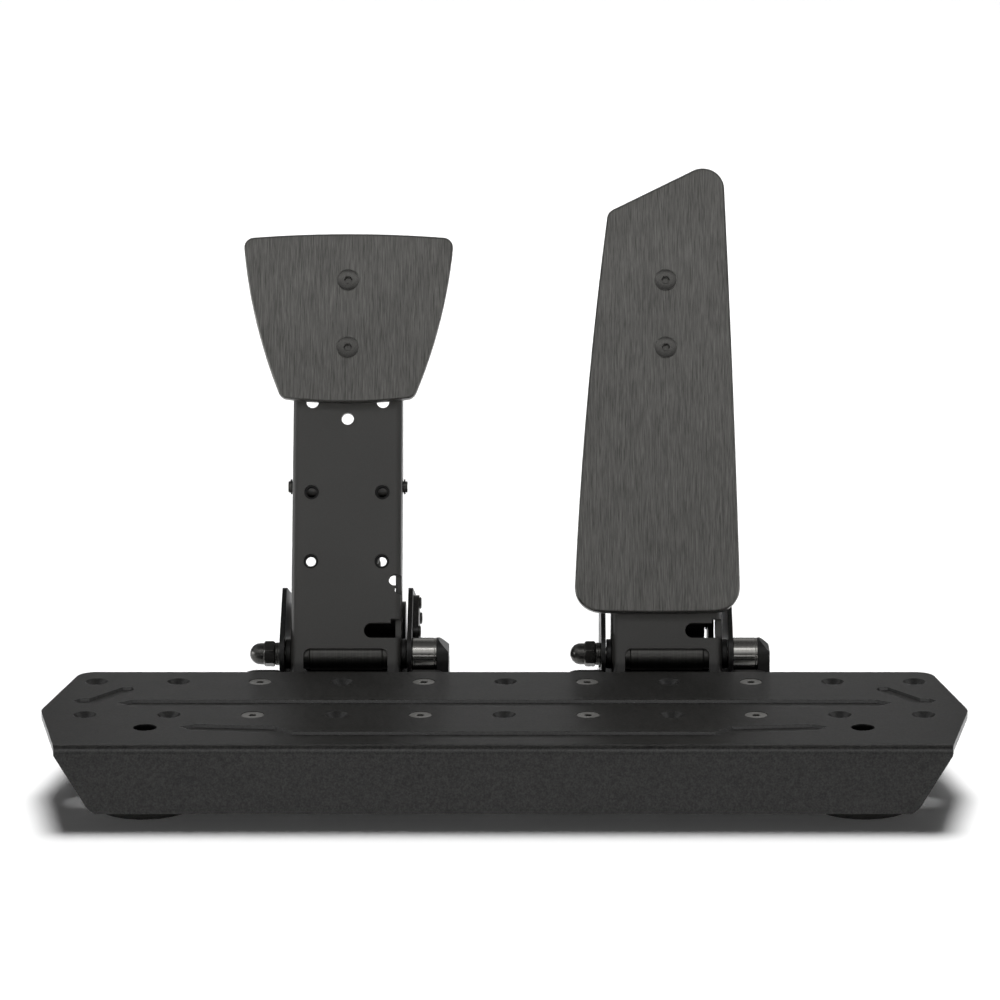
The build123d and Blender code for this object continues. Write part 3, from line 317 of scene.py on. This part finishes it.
def makeFinish(slot, values):
    material = bpy.data.materials.new(slot)
    material.use_nodes = True
    tree = material.node_tree
    tree.nodes.clear()
    place = addNode(tree, "ShaderNodeTexCoord").outputs["Object"]
    turn = (radians(values.get("turn", 0.0)), 0, 0)
    along = addNode(tree, "ShaderNodeMapping", {"Vector": place, "Rotation": turn},
                    vector_type="TEXTURE").outputs[0]
    size = tuple(length * mm for length in values["grain"])
    grain = addNode(tree, "ShaderNodeGroup", {"Vector": along, "Size": size}, node_tree=grainGroup)
    edge = addNode(tree, "ShaderNodeGroup",
                   {"Vector": place, "Radius": values["edge"] * mm, "Amount": values["wear"]},
                   node_tree=edgeGroup)
    low, high = values["rough"]
    gloss = addNode(tree, "ShaderNodeGroup", {"Vector": place, "Low": low, "High": high},
                    node_tree=glossGroup)
    tone = addNode(tree, "ShaderNodeMapRange", {"Value": grain.outputs["Fleck"],
                                                "To Min": values["deep"], "To Max": values["light"]})
    colour = addNode(tree, "ShaderNodeMapRange", {"Value": edge.outputs["Worn"],
                                                  "To Min": tone.outputs[0],
                                                  "To Max": values["worn"]}).outputs[0]
    warm = addNode(tree, "ShaderNodeCombineColor",
                   {"Red": colour, "Green": mathNode(tree, "MULTIPLY", colour, tint["green"]),
                    "Blue": mathNode(tree, "MULTIPLY", colour, tint["blue"])})
    bump = addNode(tree, "ShaderNodeBump", {"Height": grain.outputs["Height"],
                                            "Normal": edge.outputs["Normal"],
                                            "Strength": values["bump"],
                                            "Distance": values["depth"] * mm})
    surface = addNode(tree, "ShaderNodeBsdfPrincipled",
                      {"Base Color": warm.outputs[0], "Roughness": gloss.outputs["Roughness"],
                       "Metallic": values["metal"], "Specular IOR Level": values["specular"],
                       "Normal": bump.outputs[0]})
    addNode(tree, "ShaderNodeOutputMaterial", {"Surface": surface.outputs[0]})
    return material


# Looks of their own for parts that wear their slot's finish darker as painted shade (frames, rear brackets,
# arm inserts), brighter or with turning lines
looks = {
    # The powder coat painted darker, as painted shade for the frames and rear brackets that sit in shade
    "frameInPaintedShade": {
        "deep": 0.001, "light": 0.012, "worn": 0.03, "wear": 0.3, "edge": 0.3, "rough": (0.36, 0.44),
        "metal": 0.0, "specular": 0.3, "grain": (1.0, 1.0, 1.0), "bump": 0.35, "depth": 0.06},
    # Black oxide painted near black, as painted shade for the recess that the inserts sit in
    "insertInPaintedShade": {
        "deep": 0.001, "light": 0.004, "worn": 0.02, "wear": 0.2, "edge": 0.15, "rough": (0.45, 0.55),
        "metal": 0.0, "specular": 0.25, "grain": (0.2, 0.2, 0.2), "bump": 0.1, "depth": 0.01},
    "turnedTube": {
        "deep": 0.085, "light": 0.125, "worn": 0.2, "wear": 0.2, "edge": 0.25, "rough": (0.30, 0.38),
        "metal": 0.85, "specular": 0.5, "grain": (0.12, 30.0, 30.0), "bump": 0.06, "depth": 0.005},
    "brightScrew": {
        "deep": 0.10, "light": 0.15, "worn": 0.3, "wear": 0.4, "edge": 0.2, "rough": (0.26, 0.36),
        "metal": 0.2, "specular": 0.5, "grain": (0.2, 0.2, 0.2), "bump": 0.1, "depth": 0.01},
}
# The frames, rear brackets and arm inserts take the looks with painted shade
lookOf = {"base_screws": "brightScrew"}
for pedal in ("brake", "throttle"):
    lookOf.update({pedal + "_frame": "frameInPaintedShade", pedal + "_rear_bracket": "frameInPaintedShade",
                   pedal + "_arm_inserts": "insertInPaintedShade", pedal + "_pivot_tube": "turnedTube"})
finishOf = {label: makeFinish(label, values) for label, values in {**finishes, **looks}.items()}


def finishFor(node):
    return finishOf[lookOf.get(node, slotOf[node])]


for name, node in nodes.items():
    for place in node.material_slots:
        place.material = finishFor(name)
print("finishes ready")

# Places that the pieces share with the CAD model, in mm
pedals = {"brake": {"x": -70.0, "wire": 3.5, "turns": 8, "keep": 0.719},
          "throttle": {"x": 70.0, "wire": 2.4, "turns": 9, "keep": 0.660}}
pivot = {"y": 22.0408, "z": 33.8, "tilt": 25.0}
unit = {"rearY": 106.0408, "rearZ": 25.8, "crossY": 54.0212, "crossZ": 101.1993,
        "length": 91.6028, "lean": 34.6026}
armSheet = {"front": 9.5, "back": 7.0, "half": 24.0}
cheekOuter = 28.7

# Turns of the fasteners in degrees: upright, out to the right or left, and square to the arms
upright = (0, 0, 0)
toRight = (0, 90, 0)
toLeft = (0, -90, 0)
offArm = (90 - pivot["tilt"], 0, 0)

# Angles in degrees above which an edge stays sharp
sharp = {"fastener": 30, "bumper": 50, "spring": 60}


def restPlace(x):
    return (Matrix.Translation(Vector((x, pivot["y"], pivot["z"])) * mm)
            @ Matrix.Rotation(radians(-pivot["tilt"]), 4, "X"))


def unitPlace(x):
    return (Matrix.Translation(Vector((x, unit["rearY"], unit["rearZ"])) * mm)
            @ Matrix.Rotation(radians(unit["lean"]), 4, "X"))


def shift(x, y, z):
    return Matrix.Translation(Vector((x, y, z)) * mm)


def settle(name, mesh, node, angle):
    # A finished piece: smooth but for its sharp edges, at the origin, riding for its CAD node
    mesh.name = name
    mesh.materials.clear()
    mesh.materials.append(finishFor(node))
    mesh.shade_smooth()
    mesh.set_sharp_from_angle(angle=radians(angle))
    piece = bpy.data.objects.new(name, mesh)
    bpy.context.scene.collection.objects.link(piece)
    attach(piece, bodyOf[node])
    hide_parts(node)
    return piece


def plainMesh(carrier):
    # The carrier's shape with its modifiers applied; the carrier goes
    bpy.context.view_layer.update()
    shown = carrier.evaluated_get(bpy.context.evaluated_depsgraph_get())
    mesh = bpy.data.meshes.new_from_object(shown)
    bpy.data.objects.remove(carrier)
    return mesh


def grown(name, tree, base, values):
    # Runs a Geometry Nodes tree on a base mesh with its named inputs set
    carrier = bpy.data.objects.new(name, base)
    bpy.context.scene.collection.objects.link(carrier)
    modifier = carrier.modifiers.new(name, "NODES")
    modifier.node_group = tree
    for socket in tree.interface.items_tree:
        if socket.in_out == "INPUT" and socket.name in values:
            modifier[socket.identifier] = values[socket.name]
    return plainMesh(carrier)


# Lathe for screws, nuts, bushes and feet: each ring is a height, a round radius and, on a hexagon, a width
# across flats. With a bore the last ring joins the first, or else both ends are closed
flatsOnly = 1e6
tiny = 0.01
sixth = pi / 3
roundSteps = 48


def turned(rings, steps=roundSteps, bored=False):
    shape = bmesh.new()
    loops = []
    for height, radius, *flats in rings:
        loop = []
        for step in range(steps):
            angle = 2 * pi * step / steps
            reach = radius
            if flats:
                reach = min(reach, flats[0] / 2 / cos(angle % sixth - sixth / 2))
            point = Vector((reach * cos(angle), reach * sin(angle), height)) * mm
            loop.append(shape.verts.new(point))
        loops.append(loop)
    pairs = list(zip(loops, loops[1:]))
    if bored:
        pairs.append((loops[-1], loops[0]))
    else:
        shape.faces.new(loops[0][::-1])
        shape.faces.new(loops[-1])
    for low, high in pairs:
        for step in range(steps):
            after = (step + 1) % steps
            shape.faces.new((low[step], low[after], high[after], high[step]))
    mesh = bpy.data.meshes.new("turned")
    shape.to_mesh(mesh)
    shape.free()
    return mesh


def hexSocket(top, socket, lip, lipFlats, lipDepth, depth):
    # The mouth, wall and floor of a socket, downwards from the head's top
    return [(top, socket / 2 + lip, socket + lipFlats), (top - lipDepth, flatsOnly, socket),
            (top - depth, flatsOnly, socket)]


def joined(meshes):
    # One mesh out of several, each already in its place
    shape = bmesh.new()
    for mesh in meshes:
        shape.from_mesh(mesh)
    whole = bpy.data.meshes.new("joined")
    shape.to_mesh(whole)
    shape.free()
    return whole


def placed(mesh, place):
    mesh.transform(place)
    return mesh


def paintWhole(tree, shape, entry, leave):
    # Ends a tree: real geometry, wearing the finish that the tree was given
    whole = addNode(tree, "GeometryNodeRealizeInstances", {"Geometry": shape})
    painted = addNode(tree, "GeometryNodeSetMaterial", {"Geometry": whole.outputs[0],
                                                        "Material": entry["Finish"]})
    tree.links.new(painted.outputs[0], leave["Geometry"])


springs = {"seatLow": 15.0, "seatHigh": 14.0, "outer": 13.0, "play": 0.05, "pointsPerTurn": 36,
           "facets": 14, "endTurns": 1.0}


def springTree():
    # Coil on a line that is bent round by its own length, with a closed turn at each end
    tree, entry, leave = newGroup(
        "returnSpring", "GeometryNodeTree",
        [("Geometry", "NodeSocketGeometry"), ("Wire", "NodeSocketFloat"), ("Coil", "NodeSocketFloat"),
         ("Turns", "NodeSocketFloat"), ("Height", "NodeSocketFloat"), ("Points", "NodeSocketInt"),
         ("Finish", "NodeSocketMaterial")],
        [("Geometry", "NodeSocketGeometry")])
    ends = springs["endTurns"]
    line = addNode(tree, "GeometryNodeCurvePrimitiveLine").outputs[0]
    fine = addNode(tree, "GeometryNodeResampleCurve", {"Curve": line, "Count": entry["Points"]})
    along = addNode(tree, "GeometryNodeSplineParameter").outputs["Factor"]
    turn = mathNode(tree, "MULTIPLY", along, entry["Turns"])
    angle = mathNode(tree, "MULTIPLY", turn, 2 * pi)
    closedLow = mathNode(tree, "MINIMUM", turn, ends)
    closedHigh = mathNode(tree, "SUBTRACT", mathNode(tree, "ADD", turn, ends), entry["Turns"])
    closedHigh = mathNode(tree, "MAXIMUM", closedHigh, 0.0)
    closed = mathNode(tree, "ADD", mathNode(tree, "ADD", closedLow, closedHigh), 1 / 2)
    openTurns = mathNode(tree, "SUBTRACT", entry["Turns"], 2 * ends)
    opened = mathNode(tree, "DIVIDE", mathNode(tree, "SUBTRACT", turn, ends), openTurns, clamp=True)
    closedHeight = mathNode(tree, "MULTIPLY", entry["Wire"], 2 * ends + 1)
    openHeight = mathNode(tree, "SUBTRACT", entry["Height"], closedHeight)
    height = mathNode(tree, "ADD", mathNode(tree, "MULTIPLY", closed, entry["Wire"]),
                      mathNode(tree, "MULTIPLY", opened, openHeight))
    across = mathNode(tree, "MULTIPLY", mathNode(tree, "COSINE", angle), entry["Coil"])
    deep = mathNode(tree, "MULTIPLY", mathNode(tree, "SINE", angle), entry["Coil"])
    point = addNode(tree, "ShaderNodeCombineXYZ", {"X": across, "Y": deep, "Z": height}).outputs[0]
    helix = addNode(tree, "GeometryNodeSetPosition", {"Geometry": fine.outputs[0], "Position": point})
    half = mathNode(tree, "DIVIDE", entry["Wire"], 2.0)
    section = addNode(tree, "GeometryNodeCurvePrimitiveCircle",
                      {"Resolution": springs["facets"], "Radius": half})
    tube = addNode(tree, "GeometryNodeCurveToMesh", {"Curve": helix.outputs[0],
                                                     "Profile Curve": section.outputs[0],
                                                     "Fill Caps": True})
    paintWhole(tree, tube.outputs[0], entry, leave)
    return tree


def copiesTree():
    # One copy of a shape on each place, all turned the same way
    tree, entry, leave = newGroup(
        "fastenersInPlace", "GeometryNodeTree",
        [("Geometry", "NodeSocketGeometry"), ("Copy", "NodeSocketObject"),
         ("Turn", "NodeSocketVector"), ("Finish", "NodeSocketMaterial")],
        [("Geometry", "NodeSocketGeometry")])
    copy = addNode(tree, "GeometryNodeObjectInfo", {"Object": entry["Copy"]}).outputs["Geometry"]
    turn = addNode(tree, "FunctionNodeEulerToRotation", {"Euler": entry["Turn"]}).outputs[0]
    spreadOut = addNode(tree, "GeometryNodeInstanceOnPoints", {"Points": entry["Geometry"],
                                                               "Instance": copy, "Rotation": turn})
    paintWhole(tree, spreadOut.outputs[0], entry, leave)
    return tree


coil = springTree()
spread = copiesTree()

for pedal, facts in pedals.items():
    height = unit["length"] - springs["seatLow"] - springs["seatHigh"] - 2 * springs["play"]
    mesh = grown(pedal + "Coil", coil, bpy.data.meshes.new("coilBase"),
                 {"Wire": facts["wire"] * mm, "Coil": (springs["outer"] - facts["wire"] / 2) * mm,
                  "Turns": float(facts["turns"]), "Height": height * mm,
                  "Points": springs["pointsPerTurn"] * facts["turns"] + 1,
                  "Finish": finishFor(pedal + "_spring")})
    mesh.transform(unitPlace(facts["x"]) @ shift(0, 0, springs["seatLow"] + springs["play"]))
    piece = settle(pedal + "Spring", mesh, pedal + "_spring", sharp["spring"])
    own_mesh(piece)
print("springs ready")


def fasteners(name, blank, places, turn, node):
    # Copies of one turned blank, each on its place, all turned by the same angles
    copy = bpy.data.objects.new(name + "Blank", blank)
    bpy.context.scene.collection.objects.link(copy)
    points = bpy.data.meshes.new(name + "Places")
    points.from_pydata([tuple(place) for place in places], [], [])
    mesh = grown(name + "Copies", spread, points,
                 {"Copy": copy, "Turn": [radians(angle) for angle in turn], "Finish": finishFor(node)})
    bpy.data.objects.remove(copy)
    return settle(name, mesh, node, sharp["fastener"])


# Countersunk socket screws, the same kind on the heel plate and on the pads
countersunk = {"head": 9.5, "mouth": 9.8, "thread": 5.0, "pitch": 0.8, "threadDepth": 0.4, "tip": 0.6,
               "plain": 1.5, "rim": 0.35, "rimTaper": 0.3, "rimRound": 0.4, "socket": 3.0,
               "socketDepth": 1.8, "lip": 0.45, "lipFlats": 0.5, "lipDepth": 0.15, "plateLength": 12.0,
               "padLength": 16.0}


def countersunkRings(length):
    kind = countersunk
    head = kind["head"] / 2
    shank = kind["thread"] / 2
    below = (kind["mouth"] - kind["head"]) / 2
    cone = head - shank
    rim = kind["rim"]
    rings = [(-length, shank - kind["tip"]), (-length + kind["tip"], shank)]
    height = -length + kind["tip"]
    while height + kind["pitch"] < -below - cone - kind["plain"]:
        height += kind["pitch"] / 2
        rings.append((height, shank - kind["threadDepth"]))
        height += kind["pitch"] / 2
        rings.append((height, shank))
    rings += [(-below - cone, shank), (-below - rim, head - rim * kind["rimTaper"]),
              (-below - rim * kind["rimRound"], head), (-below, head - rim)]
    return rings + hexSocket(-below, kind["socket"], kind["lip"], kind["lipFlats"], kind["lipDepth"],
                             kind["socketDepth"])


heel = {"topZ": 33.5, "rearRow": -20.9592, "frontRow": -70.9592, "pitch": 35.0, "bolted": (-3, -1, 1, 3),
        "tabZ": 28.5}
rows = (heel["rearRow"], heel["frontRow"])
bolts = [(n * heel["pitch"], y) for n in heel["bolted"] for y in rows]
plateTop = [Vector((x, y, heel["topZ"])) * mm for x, y in bolts]
fasteners("plateScrews", turned(countersunkRings(countersunk["plateLength"])), plateTop, upright,
          "base_screws")


def onArm(x, out, heights, sides=(0,)):
    # Places in front of a resting arm's axis, from its foot upwards
    return [restPlace(x) @ (Vector((side, -out, height)) * mm) for side in sides for height in heights]


pads = {"front": 16.0, "heights": (134.0, 164.5)}
for pedal, facts in pedals.items():
    fasteners(pedal + "PadScrews", turned(countersunkRings(countersunk["padLength"])),
              onArm(facts["x"], pads["front"], pads["heights"]), offArm, pedal + "_pad_screws")
print("screws ready")

# Hex nuts with a chamfer on both faces, which hang down from the tabs and sit behind the arms
hexNut = {"flats": 8.0, "height": 4.0, "bore": 2.55, "chamfer": 0.45, "face": 0.93, "corner": 1.02}


def nutRings():
    flats = hexNut["flats"]
    face = flats / 2 * hexNut["face"]
    corner = flats / 2 * hexNut["corner"]
    low = -hexNut["height"]
    ease = hexNut["chamfer"]
    bore = hexNut["bore"]
    return [(low, face), (low + ease / 2, corner, flats), (low + ease, flatsOnly, flats),
            (-ease, flatsOnly, flats), (-ease / 2, corner, flats), (0, face),
            (0, bore + ease), (-ease, bore), (low + ease, bore), (low, bore + ease)]


underTab = [Vector((x, y, heel["tabZ"])) * mm for x, y in bolts]
fasteners("plateNuts", turned(nutRings(), bored=True), underTab, upright, "base_nuts")
for pedal, facts in pedals.items():
    fasteners(pedal + "PadNuts", turned(nutRings(), bored=True),
              onArm(facts["x"], armSheet["back"], pads["heights"]), offArm, pedal + "_pad_nuts")
print("nuts ready")

# Pan head screws with a hex socket, in three sizes; the head starts at height 0
panHead = {"tip": 0.4, "round": 0.2, "rise": 0.4, "dome": 0.6, "draw": 0.3, "steps": 4, "lip": 0.3,
           "lipDepth": 0.12}
panHeads = {
    "sensor": {"head": 5.4, "headHeight": 1.6, "thread": 3.0, "length": 18.1, "socket": 2.0,
               "socketDepth": 1.0, "out": 44.8, "places": ((16.5408, 16.2), (31.5408, 16.2))},
    "side": {"head": 5.2, "headHeight": 1.0, "thread": 3.0, "length": 4.5, "socket": 1.8,
             "socketDepth": 0.6, "out": 31.2, "places": ((37.0408, 39.8), (50.0408, 49.3), (59.5408, 39.8))},
    "bracket": {"head": 8.4, "headHeight": 2.7, "thread": 5.0, "length": 4.5, "socket": 3.0,
                "socketDepth": 1.8, "up": 8.5, "places": (98.5408, 113.5408)},
}


def panHeadRings(values):
    radius = values["head"] / 2
    height = values["headHeight"]
    shank = values["thread"] / 2
    tip = panHead["tip"]
    rings = [(-values["length"], shank - tip), (-values["length"] + tip, shank), (0, shank),
             (0, radius - panHead["round"]), (panHead["round"], radius)]
    for step in range(panHead["steps"] + 1):
        angle = step * pi / 2 / panHead["steps"]
        rings.append((panHead["rise"] * height + panHead["dome"] * height * sin(angle),
                      radius - panHead["draw"] * radius * (1 - cos(angle))))
    return rings + hexSocket(height, values["socket"], panHead["lip"], panHead["lip"], panHead["lipDepth"],
                             values["socketDepth"])


def besideCheek(x, values):
    return [Vector((x + values["out"], y, z)) * mm for y, z in values["places"]]


sensorHead = panHeads["sensor"]
bracketHead = panHeads["bracket"]
sideHead = panHeads["side"]
for pedal, facts in pedals.items():
    fasteners(pedal + "SensorScrews", turned(panHeadRings(sensorHead)), besideCheek(facts["x"], sensorHead),
              toRight, pedal + "_sensor_screws")
    places = [Vector((facts["x"], y, bracketHead["up"])) * mm for y in bracketHead["places"]]
    fasteners(pedal + "BracketScrews", turned(panHeadRings(bracketHead)), places, upright,
              pedal + "_rear_bracket_screws")
fasteners("brakeSideScrews", turned(panHeadRings(sideHead)), besideCheek(pedals["brake"]["x"], sideHead),
          toRight, "brake_side_screws")

# Threaded rings in the arm's lower holes, a little below its face
insert = {"outer": 3.2, "bore": 2.15, "low": -2.5, "high": -0.4, "pitch": 0.5, "thread": 0.22,
          "chamfer": 0.2, "rim": 0.15, "mouth": 0.3, "end": 0.1, "across": 15.5, "heights": (39.4, 70.2)}


def insertRings():
    low = insert["low"]
    high = insert["high"]
    outer = insert["outer"]
    bore = insert["bore"]
    rings = [(low, outer - insert["chamfer"]), (low + insert["chamfer"], outer),
             (high - insert["rim"], outer), (high, outer - insert["rim"]), (high, bore + insert["mouth"])]
    height = high - insert["mouth"]
    while height > low + insert["pitch"]:
        rings.append((height, bore))
        rings.append((height - insert["pitch"] / 2, bore + insert["thread"]))
        height -= insert["pitch"]
    rings.append((low, bore + insert["end"]))
    return rings


for pedal, facts in pedals.items():
    places = onArm(facts["x"], armSheet["front"], insert["heights"], (-insert["across"], insert["across"]))
    fasteners(pedal + "Inserts", turned(insertRings(), bored=True), places, offArm, pedal + "_arm_inserts")
print("small screws and inserts ready")

# Round parts on each axle, worked out from the cheek outwards
axleBore = 3.1
washer = {"outer": 5.0, "thick": 2.3, "edge": 0.3, "groove": 0.15, "grooveDepth": 0.2, "ease": 0.2}
acorn = {"flats": 10.0, "hexTop": 5.0, "dome": 4.7, "length": 11.2, "ease": 0.35, "lowCorner": 1.07,
         "lowChamfer": 0.7, "highChamfer": 0.8, "highCorner": 1.06, "domeSteps": 8}
sleeve = {"outer": 7.2, "length": 11.0, "start": 0.4, "end": 0.3, "seam": 10.0, "seamHalf": 0.25,
          "seamFloor": 0.1, "seamDepth": 0.25, "steps": 64}
bush = {"outer": 4.5, "reach": 10.0, "flange": 6.5, "flangeThick": 2.4, "ease": 0.3}


def washerRings():
    thick = washer["thick"]
    outer = washer["outer"]
    edge = washer["edge"]
    groove = washer["groove"]
    ease = washer["ease"]
    return [(0, outer - edge), (edge, outer), (thick / 2 - groove, outer),
            (thick / 2, outer - washer["grooveDepth"]), (thick / 2 + groove, outer), (thick - edge, outer),
            (thick, outer - edge), (thick, axleBore + ease), (thick - ease, axleBore), (ease, axleBore),
            (0, axleBore + ease)]


def acornRings():
    flats = acorn["flats"]
    top = acorn["hexTop"]
    dome = acorn["dome"]
    ease = acorn["ease"]
    centre = acorn["length"] - dome
    rings = [(0, dome), (ease, flats / 2 * acorn["lowCorner"], flats),
             (acorn["lowChamfer"], flatsOnly, flats), (top - acorn["highChamfer"], flatsOnly, flats),
             (top - ease, flats / 2 * acorn["highCorner"], flats), (top, dome)]
    for step in range(acorn["domeSteps"] + 1):
        angle = step * pi / 2 / acorn["domeSteps"]
        rings.append((centre + dome * sin(angle), max(dome * cos(angle), tiny)))
    return rings


def sleeveRings():
    outer = sleeve["outer"]
    long = sleeve["length"]
    seam = sleeve["seam"]
    half = sleeve["seamHalf"]
    floor = outer - sleeve["seamDepth"]
    return [(0, outer - sleeve["start"]), (sleeve["start"], outer), (seam - half, outer),
            (seam - sleeve["seamFloor"], floor), (seam + sleeve["seamFloor"], floor), (seam + half, outer),
            (long - sleeve["end"], outer), (long, outer - sleeve["end"]), (long, axleBore), (0, axleBore)]


def bushRings():
    reach = bush["reach"]
    end = reach + bush["flangeThick"]
    ease = bush["ease"]
    outer = bush["outer"]
    flange = bush["flange"]
    return [(0, outer - ease), (ease, outer), (reach, outer), (reach, flange - ease),
            (reach + ease, flange), (end - ease, flange), (end, flange - ease), (end, axleBore + ease),
            (end - ease, axleBore), (0, axleBore)]


for pedal, facts in pedals.items():
    middle = Vector((facts["x"], pivot["y"], pivot["z"]))
    left = (middle - Vector((cheekOuter, 0, 0))) * mm
    nut = (middle - Vector((cheekOuter + washer["thick"], 0, 0))) * mm
    right = (middle + Vector((cheekOuter, 0, 0))) * mm
    fasteners(pedal + "AxleWasher", turned(washerRings(), bored=True), [left], toLeft,
              pedal + "_axle_washer")
    fasteners(pedal + "AcornNut", turned(acornRings()), [nut], toLeft, pedal + "_acorn_nut")
    fasteners(pedal + "SensorSleeve", turned(sleeveRings(), sleeve["steps"], True), [right], toRight,
              pedal + "_sensor_sleeve")
    start = armSheet["half"] - bush["reach"]
    pair = [placed(turned(bushRings(), bored=True),
                   shift(facts["x"] + way * start, pivot["y"], pivot["z"])
                   @ Matrix.Rotation(radians(90 * way), 4, "Y")) for way in (1, -1)]
    settle(pedal + "Bushes", joined(pair), pedal + "_pivot_bushes", sharp["fastener"])
print("axle parts ready")

# Rubber feet: two tapered ones under the plate, with moulded grooves, and small pads under the frames
feet = {"bore": 4.9, "base": 21.8, "baseHeight": 9.0, "waist": 17.5, "neck": 11.0, "neckStart": 25.5,
        "top": 30.5, "x": 148.3, "y": -89.7592, "edge": 2.0,
        "rounding": ((0, 1), (0.15, 0.5), (0.5, 0.15), (1, 0)),
        "grooves": (3.4, 5.8), "grooveHalf": 0.5, "grooveFloor": 0.3, "grooveDepth": 0.5,
        "rimBelow": 0.6, "rimAbove": 0.4, "rimBack": 0.3, "ease": 0.4, "shoulderDrop": 0.3,
        "shoulderBack": 0.8, "steps": 96}
framePad = {"radius": 9.0, "height": 4.0, "x": 16.0, "y": (-67.9592, 107.0408), "hollow": 0.5,
            "hollowInner": 0.5, "hollowOuter": 0.56,
            "rounding": ((0, 1.0), (0.2, 0.5), (0.8, 0.1), (1.1, 0))}


def footRings():
    base = feet["base"]
    edge = feet["edge"]
    ease = feet["ease"]
    neck = feet["neck"]
    start = feet["neckStart"]
    bore = feet["bore"]
    floor = base - feet["grooveDepth"]
    rings = [(up * edge, base - back * edge) for up, back in feet["rounding"]]
    for groove in feet["grooves"]:
        rings += [(groove - feet["grooveHalf"], base), (groove - feet["grooveFloor"], floor),
                  (groove + feet["grooveFloor"], floor), (groove + feet["grooveHalf"], base)]
    rings += [(feet["baseHeight"] - feet["rimBelow"], base),
              (feet["baseHeight"] + feet["rimAbove"], base - feet["rimBack"]),
              (start - edge, feet["waist"] + ease),
              (start - feet["shoulderDrop"] * edge, feet["waist"] - ease),
              (start, feet["waist"] - feet["shoulderBack"] * edge), (start, neck + ease),
              (start + ease, neck), (feet["top"], neck), (feet["top"], bore), (ease, bore),
              (0, bore + ease)]
    return rings


def framePadRings():
    radius = framePad["radius"]
    hollow = framePad["hollow"]
    rings = [(hollow, tiny), (hollow, framePad["hollowInner"] * radius),
             (0, framePad["hollowOuter"] * radius)]
    rings += [(up, radius - back) for up, back in framePad["rounding"]]
    rings.append((framePad["height"], radius))
    return rings


places = [Vector((x, feet["y"], 0)) * mm for x in (-feet["x"], feet["x"])]
fasteners("frontFeet", turned(footRings(), feet["steps"], True), places, upright, "front_feet")
for pedal, facts in pedals.items():
    places = [Vector((facts["x"] + step, y, 0)) * mm for step in (-framePad["x"], framePad["x"])
              for y in framePad["y"]]
    fasteners(pedal + "FrameFeet", turned(framePadRings()), places, upright, pedal + "_frame_feet")

# Elastomer sleeve on the brake's guide, bulged between its grooves
bumper = {"start": 44.0, "length": 15.4, "outer": 8.8, "groove": 1.2, "lobes": 4, "lobeSteps": 8,
          "lobeGap": 0.02, "bulge": 0.5, "bore": 3.9, "ease": 0.3}


def bumperRings():
    lobe = bumper["length"] / bumper["lobes"]
    gap = bumper["lobeGap"]
    bore = bumper["bore"]
    ease = bumper["ease"]
    rings = []
    for index in range(bumper["lobes"]):
        for step in range(bumper["lobeSteps"] + 1):
            part = step / bumper["lobeSteps"]
            reach = bumper["outer"] - bumper["groove"] * (1 - sin(pi * part) ** bumper["bulge"])
            rings.append(((index + gap + (1 - 2 * gap) * part) * lobe, reach))
    rings += [(bumper["length"], bore + ease), (bumper["length"] - ease, bore), (ease, bore),
              (0, bore + ease)]
    return rings


mesh = placed(turned(bumperRings(), bored=True),
              unitPlace(pedals["brake"]["x"]) @ shift(0, 0, bumper["start"]))
settle("brakeBumper", mesh, "brake_bumper", sharp["bumper"])
print("feet and bumper ready")
